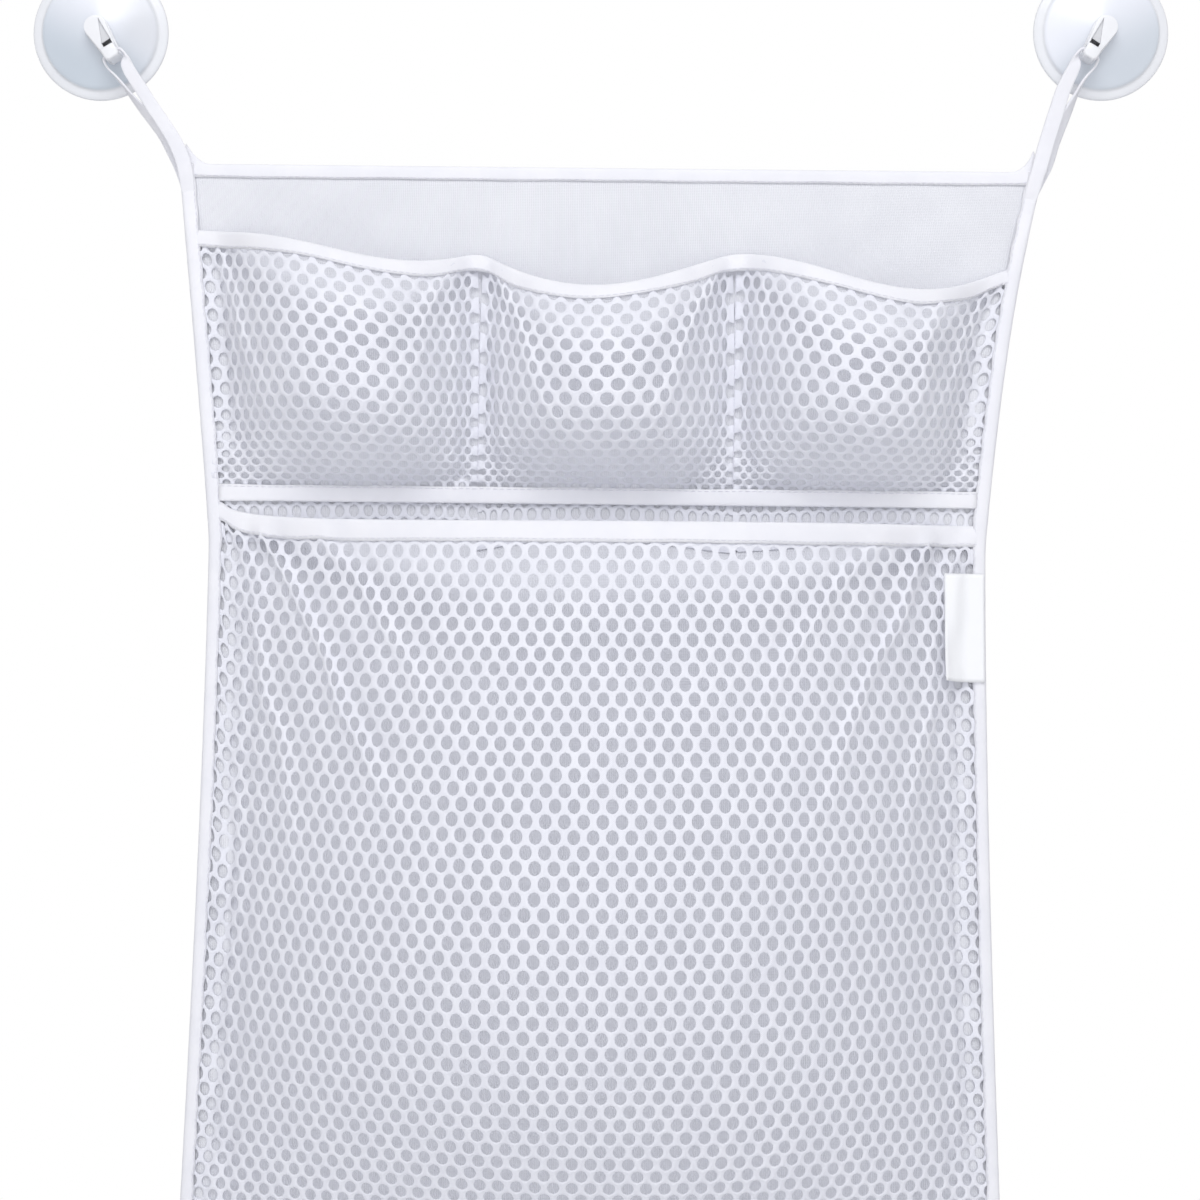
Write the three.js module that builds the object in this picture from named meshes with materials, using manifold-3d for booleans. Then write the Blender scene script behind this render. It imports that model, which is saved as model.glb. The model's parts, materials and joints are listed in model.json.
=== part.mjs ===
// Hanging mesh bath toy organizer: a flat backed bag with three small net pockets over one large one,
// hung by two tape loops from hooks that turn on the necks of two suction cups.
// Millimetres, +Z up. The wall is the plane y = 0, the bag hangs on its -Y side, and the origin lies
// in the wall midway between the axes of the two cups.

import * as THREE from 'three';
import { mergeVertices } from 'three/addons/utils/BufferGeometryUtils.js';
import Module from 'manifold-3d';

// Fits
const clearance = 0.3;
const seamRelief = 0.6;
const overrun = 1;

// Bag outline: half widths at the top edge, at the drawn-in waist and at the bottom edge
const topHalfWidth = 187;
const waistHalfWidth = 172;
const bottomHalfWidth = 184;
const bagTop = -59;
const bagHeight = 508;
const waistDepth = 166;
const upperFlareShare = 1.1;
const lowerFlareShare = 1.4;
const outlineSteps = 4;

// Cloth and tape
const wallGap = 2.2;
const panelThickness = 0.6;
const netThickness = 0.8;
const tapeThickness = 0.6;
const sideTapeWidth = 6.7;
const bottomTapeWidth = 6.7;
const topHemHeight = 6;
const threadThickness = 0.5;

// Row of three small pockets
const upperMouthLeft = -89.5;
const upperMouthRight = -103;
const leftDividerX = -53;
const rightDividerX = 60;
const leftDividerTop = -98.5;
const rightDividerTop = -97.5;
const upperBottom = -207;
const upperBulge = 44;
const upperHemHeight = 7;
const upperSeamHeight = 7;
const dividerMargin = 4;
const dividerStitchWidth = 3;
const upperLeftDip = 9;
const upperMiddleDip = 17.4;
const upperRightDip = 14.4;
const upperLeftLowestShare = 0.7;
const upperMiddleLowestShare = 0.45;
const upperRightLowestShare = 0.62;

// Large pocket
const lowerMouthLeft = -208.5;
const lowerMouthRight = -217;
const lowerMouthDip = 7.5;
const lowerLowestShare = 0.15;
const lowerBulge = 72;
const lowerHemHeight = 9;

// How a pocket swells: at its mouth, where it is deepest, and how blunt it is across and at the foot
const upperMouthShare = 0.62;
const lowerMouthShare = 0.5;
const deepestShare = 0.55;
const acrossPowerShare = 2.4;
const footPowerShare = 2.2;

// Net gaps: columns and rows of each pocket, and the shape of a gap in its cell
const upperNetColumns = 4;
const upperNetRows = 5;
const lowerNetColumns = 11;
const lowerNetRows = 14;
const netStaggerShare = 0.16;
const gapShare = 0.7;
const bandShare = 1.25;

// Blank label folded over and sewn into the right side seam
const labelTop = -237;
const labelHeight = 48;
const labelWidth = 15;
const labelThickness = 0.8;
const labelRows = 4;
const labelColumns = 3;

// Suction cup, from its rim on the wall to its head
const cupSpacing = 444;
const cupRadius = 30;
const cupRimWidth = 4;
const cupRimThickness = 1;
const cupHollowDepth = 2.2;
const cupDomeHeight = 8.4;
const cupHollowShares = [[0, 1], [0.55, 0.95], [0.88, 0.55]];
const cupDomeShares = [[0.94, 0.24], [0.75, 0.45], [0.48, 0.74], [0.3, 0.92]];
const neckRadius = 4.5;
const headRadius = 7;
const headHeight = 4;
const headRound = 1.6;
const cupSegments = 32;

// Hook: ring round the neck, plate, bar that carries the loop, and upturned lip
const hookRingRadius = 8.2;
const hookThickness = 2.8;
const hookWidth = 6.4;
const hookBarThickness = 2.6;
const hookLipHeight = 6;
const hookLipThickness = 2.4;
const hookCornerRadius = 2;
const hookEdgeRound = 1.1;
const troughWidth = 6.4;
const hookSegments = 28;
const cornerSegments = 4;

// Strap loop: bunched where it lies in the hook, flat where it is sewn to the bag
const hangDrop = 15.6;
const loopRest = 0.9;
const bunchWidth = 2.1;
const bunchThickness = 2;
const strandThickness = 1.2;
const strandWidth = 4.8;
const strandGap = 0.4;
const loopSideGap = 1.3;
const loopCornerDrop = 2;
const loopCrossingLeanShare = 0.1;
const loopCornerLeanShare = 0.6;
const twistStart = 6;
const twistEnd = 22;
const twistSteps = 6;
const tailThickness = 1.4;
const tailLead = 8;
const tailLap = 6;
const tackWidth = 5;
const tackHeight = 4;

// Colours, all whites seen in the same soft light
const tapeWhite = new THREE.MeshStandardMaterial({ color: 0xf1f1f8, roughness: 0.85, metalness: 0 });
const netWhite = new THREE.MeshStandardMaterial({ color: 0xeeeef8, roughness: 0.8, metalness: 0 });
const panelWhite = new THREE.MeshStandardMaterial({ color: 0xe5e5ed, roughness: 0.88, metalness: 0 });
const threadWhite = new THREE.MeshStandardMaterial({ color: 0xe8e8ef, roughness: 0.7, metalness: 0 });
const labelWhite = new THREE.MeshStandardMaterial({ color: 0xf4f4f6, roughness: 0.5, metalness: 0 });
const hookWhite = new THREE.MeshStandardMaterial({ color: 0xf3f4f8, roughness: 0.35, metalness: 0 });
const cupMilky = new THREE.MeshStandardMaterial({ color: 0xdfe4ee, roughness: 0.25, metalness: 0 });

// Places worked out from the sizes. Depths are measured out from the wall, along -Y.
const bagBottom = bagTop - bagHeight;
const waistZ = bagTop - waistDepth;
const panelDepth = wallGap + tapeThickness + clearance + panelThickness / 2;
const panelFront = panelDepth + panelThickness / 2;
const netDepth = panelFront + clearance + tapeThickness + clearance + netThickness / 2;
const netFront = netDepth + netThickness / 2;
const tapeInset = tapeThickness + clearance;
const FRONT = new THREE.Vector3(0, -1, 0);
const UP = new THREE.Vector3(0, 0, 1);

const wasm = await Module();
wasm.setup();

function mix(a, b, share) {
  return a + (b - a) * share;
}

function mixPoints(a, b, share) {
  return a.clone().lerp(b, share);
}

// Half width of the bag at a height, to the outer fold of the side tape
function halfWidth(z) {
  if (z > waistZ) {
    const share = (z - waistZ) / waistDepth;
    return waistHalfWidth + (topHalfWidth - waistHalfWidth) * share ** upperFlareShare;
  }
  const share = (waistZ - z) / (waistZ - bagBottom);
  return waistHalfWidth + (bottomHalfWidth - waistHalfWidth) * share ** lowerFlareShare;
}

// Closed body from points and triangles, turned so that its faces point out
function bodyOf(points, triangles) {
  let volume = 0;
  for (const [a, b, c] of triangles) {
    volume += points[a].dot(new THREE.Vector3().crossVectors(points[b], points[c]));
  }
  const index = triangles.flatMap(([a, b, c]) => (volume > 0 ? [a, b, c] : [a, c, b]));
  const geometry = new THREE.BufferGeometry();
  geometry.setAttribute('position', new THREE.Float32BufferAttribute(points.flatMap((p) => p.toArray()), 3));
  geometry.setIndex(index);
  const flat = geometry.toNonIndexed();
  flat.computeVertexNormals();
  return flat;
}

// Sheet with a thickness: both faces of a surface, and a wall along every open edge
function thicken(points, normals, triangles, thickness) {
  const count = points.length;
  const both = [];
  for (const side of [1, -1]) {
    points.forEach((p, i) => both.push(p.clone().addScaledVector(normals[i], (side * thickness) / 2)));
  }
  const faces = [];
  const open = new Map();
  for (const [a, b, c] of triangles) {
    faces.push([a, b, c], [a + count, c + count, b + count]);
    for (const [from, to] of [[a, b], [b, c], [c, a]]) {
      if (open.has(`${to},${from}`)) {
        open.delete(`${to},${from}`);
      } else {
        open.set(`${from},${to}`, [from, to]);
      }
    }
  }
  for (const [from, to] of open.values()) {
    faces.push([to, from, from + count], [to, from + count, to + count]);
  }
  return bodyOf(both, faces);
}

// Two triangles over four corners, split along the shorter diagonal
function splitQuad(points, a, b, c, d) {
  if (points[a].distanceTo(points[c]) < points[b].distanceTo(points[d])) {
    return [[a, b, c], [a, c, d]];
  }
  return [[a, b, d], [b, c, d]];
}

// Body swept through sections that all have the outline's points, in its order
function loft(sections, outline) {
  const size = outline.length;
  const points = sections.flat();
  const faces = [];
  for (let i = 0; i + 1 < sections.length; i++) {
    for (let j = 0; j < size; j++) {
      const a = i * size + j;
      const b = i * size + ((j + 1) % size);
      faces.push(...splitQuad(points, a, b, b + size, a + size));
    }
  }
  const last = (sections.length - 1) * size;
  for (const [a, b, c] of THREE.ShapeUtils.triangulateShape(outline, [])) {
    const inOrder = THREE.ShapeUtils.isClockWise(outline);
    faces.push(inOrder ? [a, b, c] : [c, b, a]);
    faces.push(inOrder ? [last + c, last + b, last + a] : [last + a, last + b, last + c]);
  }
  return bodyOf(points, faces);
}

// Tape folded over an edge. Each station has the edge point, the way into the cloth and the way to the front.
function foldedTape(stations, width, back, front) {
  const fold = -tapeInset;
  const outline = [
    new THREE.Vector2(width, -back - tapeThickness),
    new THREE.Vector2(fold, -back - tapeThickness),
    new THREE.Vector2(fold, front + tapeThickness),
    new THREE.Vector2(width, front + tapeThickness),
    new THREE.Vector2(width, front),
    new THREE.Vector2(fold + tapeThickness, front),
    new THREE.Vector2(fold + tapeThickness, -back),
    new THREE.Vector2(width, -back),
  ];
  const sections = stations.map(({ edge, inward, normal }) => outline.map(
    (p) => edge.clone().addScaledVector(inward, p.x).addScaledVector(normal, p.y),
  ));
  return loft(sections, outline);
}

function toSolid(geometry) {
  const bare = geometry.clone();
  bare.deleteAttribute('normal');
  bare.deleteAttribute('uv');
  const merged = mergeVertices(bare);
  return new wasm.Manifold(new wasm.Mesh({
    numProp: 3,
    vertProperties: new Float32Array(merged.attributes.position.array),
    triVerts: new Uint32Array(merged.index.array),
  }));
}

function fromSolid(solid) {
  const mesh = solid.getMesh();
  const geometry = new THREE.BufferGeometry();
  geometry.setAttribute('position', new THREE.BufferAttribute(new Float32Array(mesh.vertProperties), 3));
  geometry.setIndex(new THREE.BufferAttribute(new Uint32Array(mesh.triVerts), 1));
  const flat = geometry.toNonIndexed();
  flat.computeVertexNormals();
  return flat;
}

// Pocket surfaces

// A pocket runs between two edge lines, from its mouth line to its foot, and swells out between them.
const leftEdge = (z) => -(halfWidth(z) - sideTapeWidth - seamRelief);
const rightEdge = (z) => halfWidth(z) - sideTapeWidth - seamRelief;
const sewnSide = sideTapeWidth + seamRelief - tapeInset - clearance;

const upperPockets = [
  {
    name: 'upper_left_net',
    left: leftEdge,
    right: () => leftDividerX - dividerMargin,
    leftMargin: sewnSide,
    rightMargin: dividerMargin - clearance,
    mouthLeft: upperMouthLeft,
    mouthRight: leftDividerTop,
    dip: upperLeftDip,
    lowest: upperLeftLowestShare,
  },
  {
    name: 'upper_middle_net',
    left: () => leftDividerX + dividerMargin,
    right: () => rightDividerX - dividerMargin,
    leftMargin: dividerMargin - clearance,
    rightMargin: dividerMargin - clearance,
    mouthLeft: leftDividerTop,
    mouthRight: rightDividerTop,
    dip: upperMiddleDip,
    lowest: upperMiddleLowestShare,
  },
  {
    name: 'upper_right_net',
    left: () => rightDividerX + dividerMargin,
    right: rightEdge,
    leftMargin: dividerMargin - clearance,
    rightMargin: sewnSide,
    mouthLeft: rightDividerTop,
    mouthRight: upperMouthRight,
    dip: upperRightDip,
    lowest: upperRightLowestShare,
  },
].map((pocket) => ({
  ...pocket,
  foot: upperBottom + upperSeamHeight + seamRelief,
  footMargin: upperSeamHeight + seamRelief - tapeInset,
  bulge: upperBulge,
  mouthShare: upperMouthShare,
  hemHeight: upperHemHeight,
  columns: upperNetColumns,
  rows: upperNetRows,
}));

const lowerPocket = {
  name: 'lower_net',
  left: leftEdge,
  right: rightEdge,
  leftMargin: sewnSide,
  rightMargin: sewnSide,
  mouthLeft: lowerMouthLeft,
  mouthRight: lowerMouthRight,
  dip: lowerMouthDip,
  lowest: lowerLowestShare,
  foot: bagBottom + bottomTapeWidth + seamRelief,
  footMargin: bottomTapeWidth + seamRelief - tapeInset,
  bulge: lowerBulge,
  mouthShare: lowerMouthShare,
  hemHeight: lowerHemHeight,
  columns: lowerNetColumns,
  rows: lowerNetRows,
};

// Height of the mouth, which hangs lowest at the pocket's lowest share of the way across
function mouthAt(pocket, across) {
  const ends = mix(pocket.mouthLeft, pocket.mouthRight, across);
  const lean = Math.log(0.5) / Math.log(pocket.lowest);
  return ends - pocket.dip * Math.sin(Math.PI * across ** lean);
}

function swellDown(pocket, down) {
  if (down < deepestShare) {
    return mix(pocket.mouthShare, 1, Math.sin((Math.PI / 2) * (down / deepestShare)));
  }
  return 1 - ((down - deepestShare) / (1 - deepestShare)) ** footPowerShare;
}

// Middle of the net at a share of the way across the pocket and a share of the way down it
function pocketPoint(pocket, across, down) {
  const z = mix(mouthAt(pocket, across), pocket.foot, down);
  const x = mix(pocket.left(z), pocket.right(z), across);
  const swellAcross = 1 - Math.abs(2 * across - 1) ** acrossPowerShare;
  return new THREE.Vector3(x, -netDepth - pocket.bulge * swellAcross * swellDown(pocket, down), z);
}

// Way to the front at each point of a surface, from the faces round it
function surfaceNormals(points, triangles) {
  const normals = points.map(() => new THREE.Vector3());
  for (const [a, b, c] of triangles) {
    const toB = points[b].clone().sub(points[a]);
    const toC = points[c].clone().sub(points[a]);
    const normal = toB.cross(toC);
    [a, b, c].forEach((i) => normals[i].add(normal));
  }
  return normals.map((n) => n.normalize());
}

// Net of a pocket. Vertices stand half a gap apart along each line, so that the gaps of a row stand
// over the strands of the next. A plain band runs along the mouth, where the hem tape folds over it,
// and a flat margin along each sewn side. The points of the band are kept for the hem.
function makeNet(pocket) {
  const last = 2 * pocket.columns;
  const band = (pocket.hemHeight * bandShare) / (pocket.mouthLeft - pocket.foot);
  const step = (1 - band) / pocket.rows;
  const points = [];
  const places = [];
  const triangles = [];

  const addPoint = (across, down) => {
    places.push([across, down]);
    return points.push(pocketPoint(pocket, across, down)) - 1;
  };
  const addBeside = (index, dx, dz) => {
    places.push(places[index]);
    return points.push(points[index].clone().add(new THREE.Vector3(dx, 0, dz))) - 1;
  };
  const addQuad = (a, b, c, d) => triangles.push(...splitQuad(points, a, d, c, b));
  const addLine = (down, row) => {
    const line = [];
    for (let k = 0; k <= last; k++) {
      const stagger = row === null ? 0 : netStaggerShare * step * ((k - row) % 2 === 0 ? 1 : -1);
      line.push(addPoint(k / last, down + stagger));
    }
    return [addBeside(line[0], -pocket.leftMargin, 0), ...line, addBeside(line[last], pocket.rightMargin, 0)];
  };

  const mouth = addLine(0, null);
  const rows = [addLine(band, null)];
  for (let r = 1; r < pocket.rows; r++) {
    rows.push(addLine(band + r * step, r));
  }
  rows.push(addLine(1, null));
  const foot = rows[pocket.rows].map((i) => addBeside(i, 0, -pocket.footMargin));

  for (let i = 0; i + 1 < mouth.length; i++) {
    addQuad(mouth[i], mouth[i + 1], rows[0][i + 1], rows[0][i]);
    addQuad(rows[pocket.rows][i], rows[pocket.rows][i + 1], foot[i + 1], foot[i]);
  }
  for (let r = 0; r < pocket.rows; r++) {
    const [above, below] = [rows[r], rows[r + 1]];
    const first = 1 + (r % 2);
    for (let i = 0; i + 1 < above.length; i++) {
      const inCell = i >= first && i < above.length - 1 - first;
      if (!inCell) {
        addQuad(above[i], above[i + 1], below[i + 1], below[i]);
      }
    }
    for (let i = first; i + 2 < above.length - (r % 2); i += 2) {
      const cell = [above[i], above[i + 1], above[i + 2], below[i + 2], below[i + 1], below[i]];
      const [top, bottom] = [places[cell[1]], places[cell[4]]];
      const gap = cell.map((c) => addPoint(
        mix((top[0] + bottom[0]) / 2, places[c][0], gapShare),
        mix((top[1] + bottom[1]) / 2, places[c][1], gapShare),
      ));
      cell.forEach((c, j) => addQuad(c, cell[(j + 1) % cell.length], gap[(j + 1) % cell.length], gap[j]));
    }
  }

  const normals = surfaceNormals(points, triangles);
  const mouthLine = mouth.map((index, i) => ({
    edge: points[index],
    inward: points[rows[0][i]].clone().sub(points[index]).normalize(),
    normal: normals[index],
  }));
  return { geometry: thicken(points, normals, triangles, netThickness), mouthLine };
}

// Hem tape along one or more mouth lines, stopped short of the side tapes
function makeHem(mouthLines, height) {
  const stations = mouthLines.flat().slice(1, -1);
  const trim = (from, to) => {
    const share = clearance / from.edge.distanceTo(to.edge);
    return {
      edge: mixPoints(from.edge, to.edge, share),
      inward: mixPoints(from.inward, to.inward, share).normalize(),
      normal: mixPoints(from.normal, to.normal, share).normalize(),
    };
  };
  stations[0] = trim(stations[0], stations[1]);
  stations[stations.length - 1] = trim(stations.at(-1), stations.at(-2));
  const room = netThickness / 2 + clearance;
  return foldedTape(stations, height - tapeInset, room, room);
}

// Panel and its tapes

const edgeHeights = [];
for (let i = 0; i <= outlineSteps; i++) {
  edgeHeights.push(mix(bagTop, waistZ, i / outlineSteps));
}
for (let i = 1; i <= 2 * outlineSteps; i++) {
  edgeHeights.push(mix(waistZ, bagBottom, i / (2 * outlineSteps)));
}

function makePanel() {
  const heights = [bagTop - tapeInset, ...edgeHeights.slice(1, -1), bagBottom + tapeInset];
  const points = [];
  const triangles = [];
  for (const z of heights) {
    const x = halfWidth(z) - tapeInset;
    points.push(new THREE.Vector3(-x, -panelDepth, z), new THREE.Vector3(x, -panelDepth, z));
  }
  for (let i = 0; i + 3 < points.length; i += 2) {
    triangles.push([i, i + 2, i + 3], [i, i + 3, i + 1]);
  }
  return thicken(points, points.map(() => FRONT), triangles, panelThickness);
}

const behindPanel = panelThickness / 2 + clearance;
const beforeNets = netFront + clearance - panelDepth;

function makeSideTape(side) {
  const stations = edgeHeights.map((z) => ({
    edge: new THREE.Vector3(side * (halfWidth(z) - tapeInset), -panelDepth, z),
    inward: new THREE.Vector3(-side, 0, 0),
    normal: FRONT,
  }));
  return foldedTape(stations, sideTapeWidth - tapeInset, behindPanel, beforeNets);
}

// Straight tape folded over a level edge between the side tapes
function makeLevelTape(edgeZ, depth, inward, height, back, front) {
  const ends = Math.min(halfWidth(edgeZ), halfWidth(edgeZ + inward.z * height));
  const x = ends - sideTapeWidth - clearance;
  const stations = [-x, x].map((at) => ({
    edge: new THREE.Vector3(at, -depth, edgeZ),
    inward,
    normal: FRONT,
  }));
  return foldedTape(stations, height - tapeInset, back, front);
}

// Flat block given by its middle across, its back depth, its top and its three sizes
function frontBlock(x, backDepth, top, width, thickness, height) {
  const block = new THREE.BoxGeometry(width, thickness, height);
  block.translate(x, -(backDepth + thickness / 2), top - height / 2);
  return block;
}

function makeLabel() {
  const points = [];
  const triangles = [];
  for (let r = 0; r <= labelRows; r++) {
    const z = labelTop - (labelHeight * r) / labelRows;
    const width = rightEdge(z) - leftEdge(z);
    for (let c = 0; c <= labelColumns; c++) {
      const across = 1 - (clearance + (labelWidth * c) / labelColumns) / width;
      const mouth = mouthAt(lowerPocket, across);
      points.push(pocketPoint(lowerPocket, across, (mouth - z) / (mouth - lowerPocket.foot)));
    }
  }
  for (let r = 0; r < labelRows; r++) {
    for (let c = 0; c < labelColumns; c++) {
      const a = r * (labelColumns + 1) + c;
      const b = a + labelColumns + 1;
      triangles.push([a, a + 1, b + 1], [a, b + 1, b]);
    }
  }
  const normals = surfaceNormals(points, triangles);
  const lift = netThickness / 2 + clearance + labelThickness / 2;
  const lifted = points.map((p, i) => p.clone().addScaledVector(normals[i], lift));
  return thicken(lifted, normals, triangles, labelThickness);
}

// Cup, hook and strap loop. Each is made hanging straight down from the cup's axis, then its group
// turns it towards the corner of the bag.

const neckStart = cupDomeHeight;
const neckEnd = neckStart + hookThickness + 2 * clearance;
const plateBack = neckStart + clearance;
const plateFront = plateBack + hookThickness;
const loopDepth = plateFront + troughWidth / 2;
const barTop = hangDrop + bunchThickness / 2 + loopRest;
const hookBottom = barTop + hookBarThickness;
const cornerX = topHalfWidth - sideTapeWidth / 2;
const cornerZ = bagTop - topHemHeight / 2;
const cornerAcross = cupSpacing / 2 - cornerX;
const strapReach = Math.hypot(cornerAcross, cornerZ);
const strapAngle = Math.atan2(cornerAcross, -cornerZ);

function makeCup() {
  const flatInner = cupRadius - cupRimWidth;
  const profile = [
    ...cupHollowShares.map(([radius, height]) => [flatInner * radius, cupHollowDepth * height]),
    [flatInner, 0],
    [cupRadius, 0],
    [cupRadius, cupRimThickness],
    ...cupDomeShares.map(([radius, height]) => [cupRadius * radius, cupDomeHeight * height]),
    [neckRadius, neckStart],
    [neckRadius, neckEnd],
    [headRadius, neckEnd],
    [headRadius, neckEnd + headHeight - headRound],
    [headRadius - headRound, neckEnd + headHeight],
    [0, neckEnd + headHeight],
  ].map(([radius, height]) => new THREE.Vector2(radius, height));
  const cup = new THREE.LatheGeometry(profile, cupSegments);
  cup.rotateX(Math.PI);
  return fromSolid(toSolid(cup));
}

function makeHook() {
  const lipBack = plateFront + troughWidth;
  const lipFront = lipBack + hookLipThickness;
  const lipTop = hookBottom - hookLipHeight;
  const r = hookCornerRadius;
  const tip = hookLipThickness / 2;
  const side = new THREE.Shape();
  side.moveTo(plateBack, 0);
  side.lineTo(plateBack, -hookBottom + r);
  side.absarc(plateBack + r, -hookBottom + r, r, Math.PI, 1.5 * Math.PI, false);
  side.lineTo(lipFront - r, -hookBottom);
  side.absarc(lipFront - r, -hookBottom + r, r, 1.5 * Math.PI, 2 * Math.PI, false);
  side.lineTo(lipFront, -lipTop - tip);
  side.absarc(lipFront - tip, -lipTop - tip, tip, 0, Math.PI, false);
  side.lineTo(lipBack, -barTop);
  side.lineTo(plateFront, -barTop);
  side.lineTo(plateFront, 0);
  side.closePath();
  const body = new THREE.ExtrudeGeometry(side, {
    depth: hookWidth - 2 * hookEdgeRound,
    bevelThickness: hookEdgeRound,
    bevelSize: hookEdgeRound,
    bevelOffset: -hookEdgeRound,
    bevelSegments: 2,
    curveSegments: cornerSegments,
  });
  body.translate(0, 0, hookEdgeRound - hookWidth / 2);
  body.applyMatrix4(new THREE.Matrix4().makeBasis(
    FRONT, UP, new THREE.Vector3().crossVectors(FRONT, UP),
  ));
  const ring = new THREE.CylinderGeometry(hookRingRadius, hookRingRadius, hookThickness, hookSegments);
  ring.translate(0, -(plateBack + hookThickness / 2), 0);
  const boreRadius = neckRadius + clearance;
  const bore = new THREE.CylinderGeometry(boreRadius, boreRadius, hookThickness + 2 * overrun, hookSegments);
  bore.translate(0, -(plateBack + hookThickness / 2), 0);
  return fromSolid(toSolid(body).add(toSolid(ring)).subtract(toSolid(bore)));
}

// Eight points round a bunched or flat tape, as shares of its width and thickness
const tapeOutlineShares = [
  [0.5, -0.2], [0.5, 0.2], [0.36, 0.5], [-0.36, 0.5], [-0.5, 0.2], [-0.5, -0.2], [-0.36, -0.5], [0.36, -0.5],
];
const tapeOutline = tapeOutlineShares.map(([x, y]) => new THREE.Vector2(x, y));

function tapeSection(centre, widthWay, thicknessWay, width, thickness) {
  return tapeOutline.map((p) => centre.clone()
    .addScaledVector(widthWay, p.x * width)
    .addScaledVector(thicknessWay, p.y * thickness));
}

function makeStrap() {
  const tailDepth = wallGap - clearance - tailThickness / 2;
  const bend = strapReach - tailLead;
  const depthAt = (drop) => mix(loopDepth, tailDepth, Math.max(0, (drop - barTop) / (bend - barTop)));
  const sideX = hookWidth / 2 + loopSideGap + strandThickness / 2;
  const innerX = (strandWidth + strandGap) / 2;

  // Right strand, from the middle of the crossing down to where the strands lie side by side.
  // Lean is the share of the turn from level to straight down, and turn the share of the twist.
  const half = [
    { x: 0, drop: hangDrop, lean: 0, thickness: bunchThickness },
    { x: sideX - bunchThickness / 2, drop: hangDrop, lean: loopCrossingLeanShare, thickness: bunchThickness },
    { x: sideX, drop: hangDrop + loopCornerDrop / 2, lean: loopCornerLeanShare, thickness: strandThickness },
    { x: sideX, drop: hangDrop + loopCornerDrop, lean: 1, thickness: strandThickness },
  ].map((station) => ({ ...station, turn: 0, width: bunchWidth }));
  for (let i = 0; i <= twistSteps; i++) {
    const share = i / twistSteps;
    half.push({
      x: mix(sideX, innerX, share),
      drop: hangDrop + mix(twistStart, twistEnd, share),
      lean: 1,
      turn: share,
      width: mix(bunchWidth, strandWidth, Math.sqrt(share)),
      thickness: strandThickness,
    });
  }
  const sectionOf = ({ x, drop, lean, turn, width, thickness }, side) => {
    const centre = new THREE.Vector3(side * x, -depthAt(drop), -drop);
    const leanAngle = (lean * Math.PI) / 2;
    const along = new THREE.Vector3(Math.cos(leanAngle), 0, -side * Math.sin(leanAngle));
    const across = new THREE.Vector3().crossVectors(along, FRONT);
    const twist = (side * turn * Math.PI) / 2;
    const [straight, turned] = [Math.cos(twist), Math.sin(twist)];
    const widthWay = FRONT.clone().multiplyScalar(straight).addScaledVector(across, turned);
    const thicknessWay = across.clone().multiplyScalar(straight).addScaledVector(FRONT, -turned);
    return tapeSection(centre, widthWay, thicknessWay, width, thickness);
  };
  const sections = [
    ...half.slice(1).reverse().map((station) => sectionOf(station, -1)),
    ...half.map((station) => sectionOf(station, 1)),
  ];
  const loop = toSolid(loft(sections, tapeOutline));

  const tailWidth = 2 * strandWidth + strandGap;
  const tailTop = hangDrop + twistEnd - overrun;
  const across = new THREE.Vector3(1, 0, 0);
  const tailSections = [tailTop, bend, strapReach + tailLap].map((drop) => tapeSection(
    new THREE.Vector3(0, -Math.max(tailDepth, depthAt(Math.min(drop, bend))), -drop),
    across, FRONT, tailWidth, tailThickness,
  ));
  return fromSolid(loop.add(toSolid(loft(tailSections, tapeOutline))));
}

// Assembly

const organizer = new THREE.Group();

function addPiece(name, geometry, material, parent = organizer) {
  const piece = new THREE.Mesh(geometry, material);
  piece.name = name;
  parent.add(piece);
}

addPiece('back_panel', makePanel(), panelWhite);
addPiece('left_side_binding', makeSideTape(-1), tapeWhite);
addPiece('right_side_binding', makeSideTape(1), tapeWhite);
addPiece('top_hem', makeLevelTape(
  bagTop - tapeInset, panelDepth, UP.clone().negate(), topHemHeight, behindPanel, behindPanel,
), tapeWhite);
addPiece('bottom_binding', makeLevelTape(
  bagBottom + tapeInset, panelDepth, UP, bottomTapeWidth, behindPanel, beforeNets,
), tapeWhite);

const upperNets = upperPockets.map(makeNet);
upperNets.forEach((net, i) => addPiece(upperPockets[i].name, net.geometry, netWhite));
addPiece('upper_hem', makeHem(upperNets.map((net) => net.mouthLine), upperHemHeight), tapeWhite);
const roundNet = netThickness / 2 + clearance;
addPiece('upper_seam_tape', makeLevelTape(
  upperBottom + tapeInset, netDepth, UP, upperSeamHeight, roundNet, roundNet,
), tapeWhite);
const seamTop = upperBottom + upperSeamHeight + clearance;
for (const [name, x, top] of [
  ['left_divider_stitching', leftDividerX, leftDividerTop],
  ['right_divider_stitching', rightDividerX, rightDividerTop],
]) {
  const stitchTop = top - upperHemHeight - clearance;
  addPiece(name, frontBlock(
    x, netFront + clearance, stitchTop, dividerStitchWidth, threadThickness, stitchTop - seamTop,
  ), threadWhite);
}

const lowerNet = makeNet(lowerPocket);
addPiece('lower_net', lowerNet.geometry, netWhite);
addPiece('lower_hem', makeHem([lowerNet.mouthLine], lowerHemHeight), tapeWhite);
addPiece('side_label', makeLabel(), labelWhite);

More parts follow.
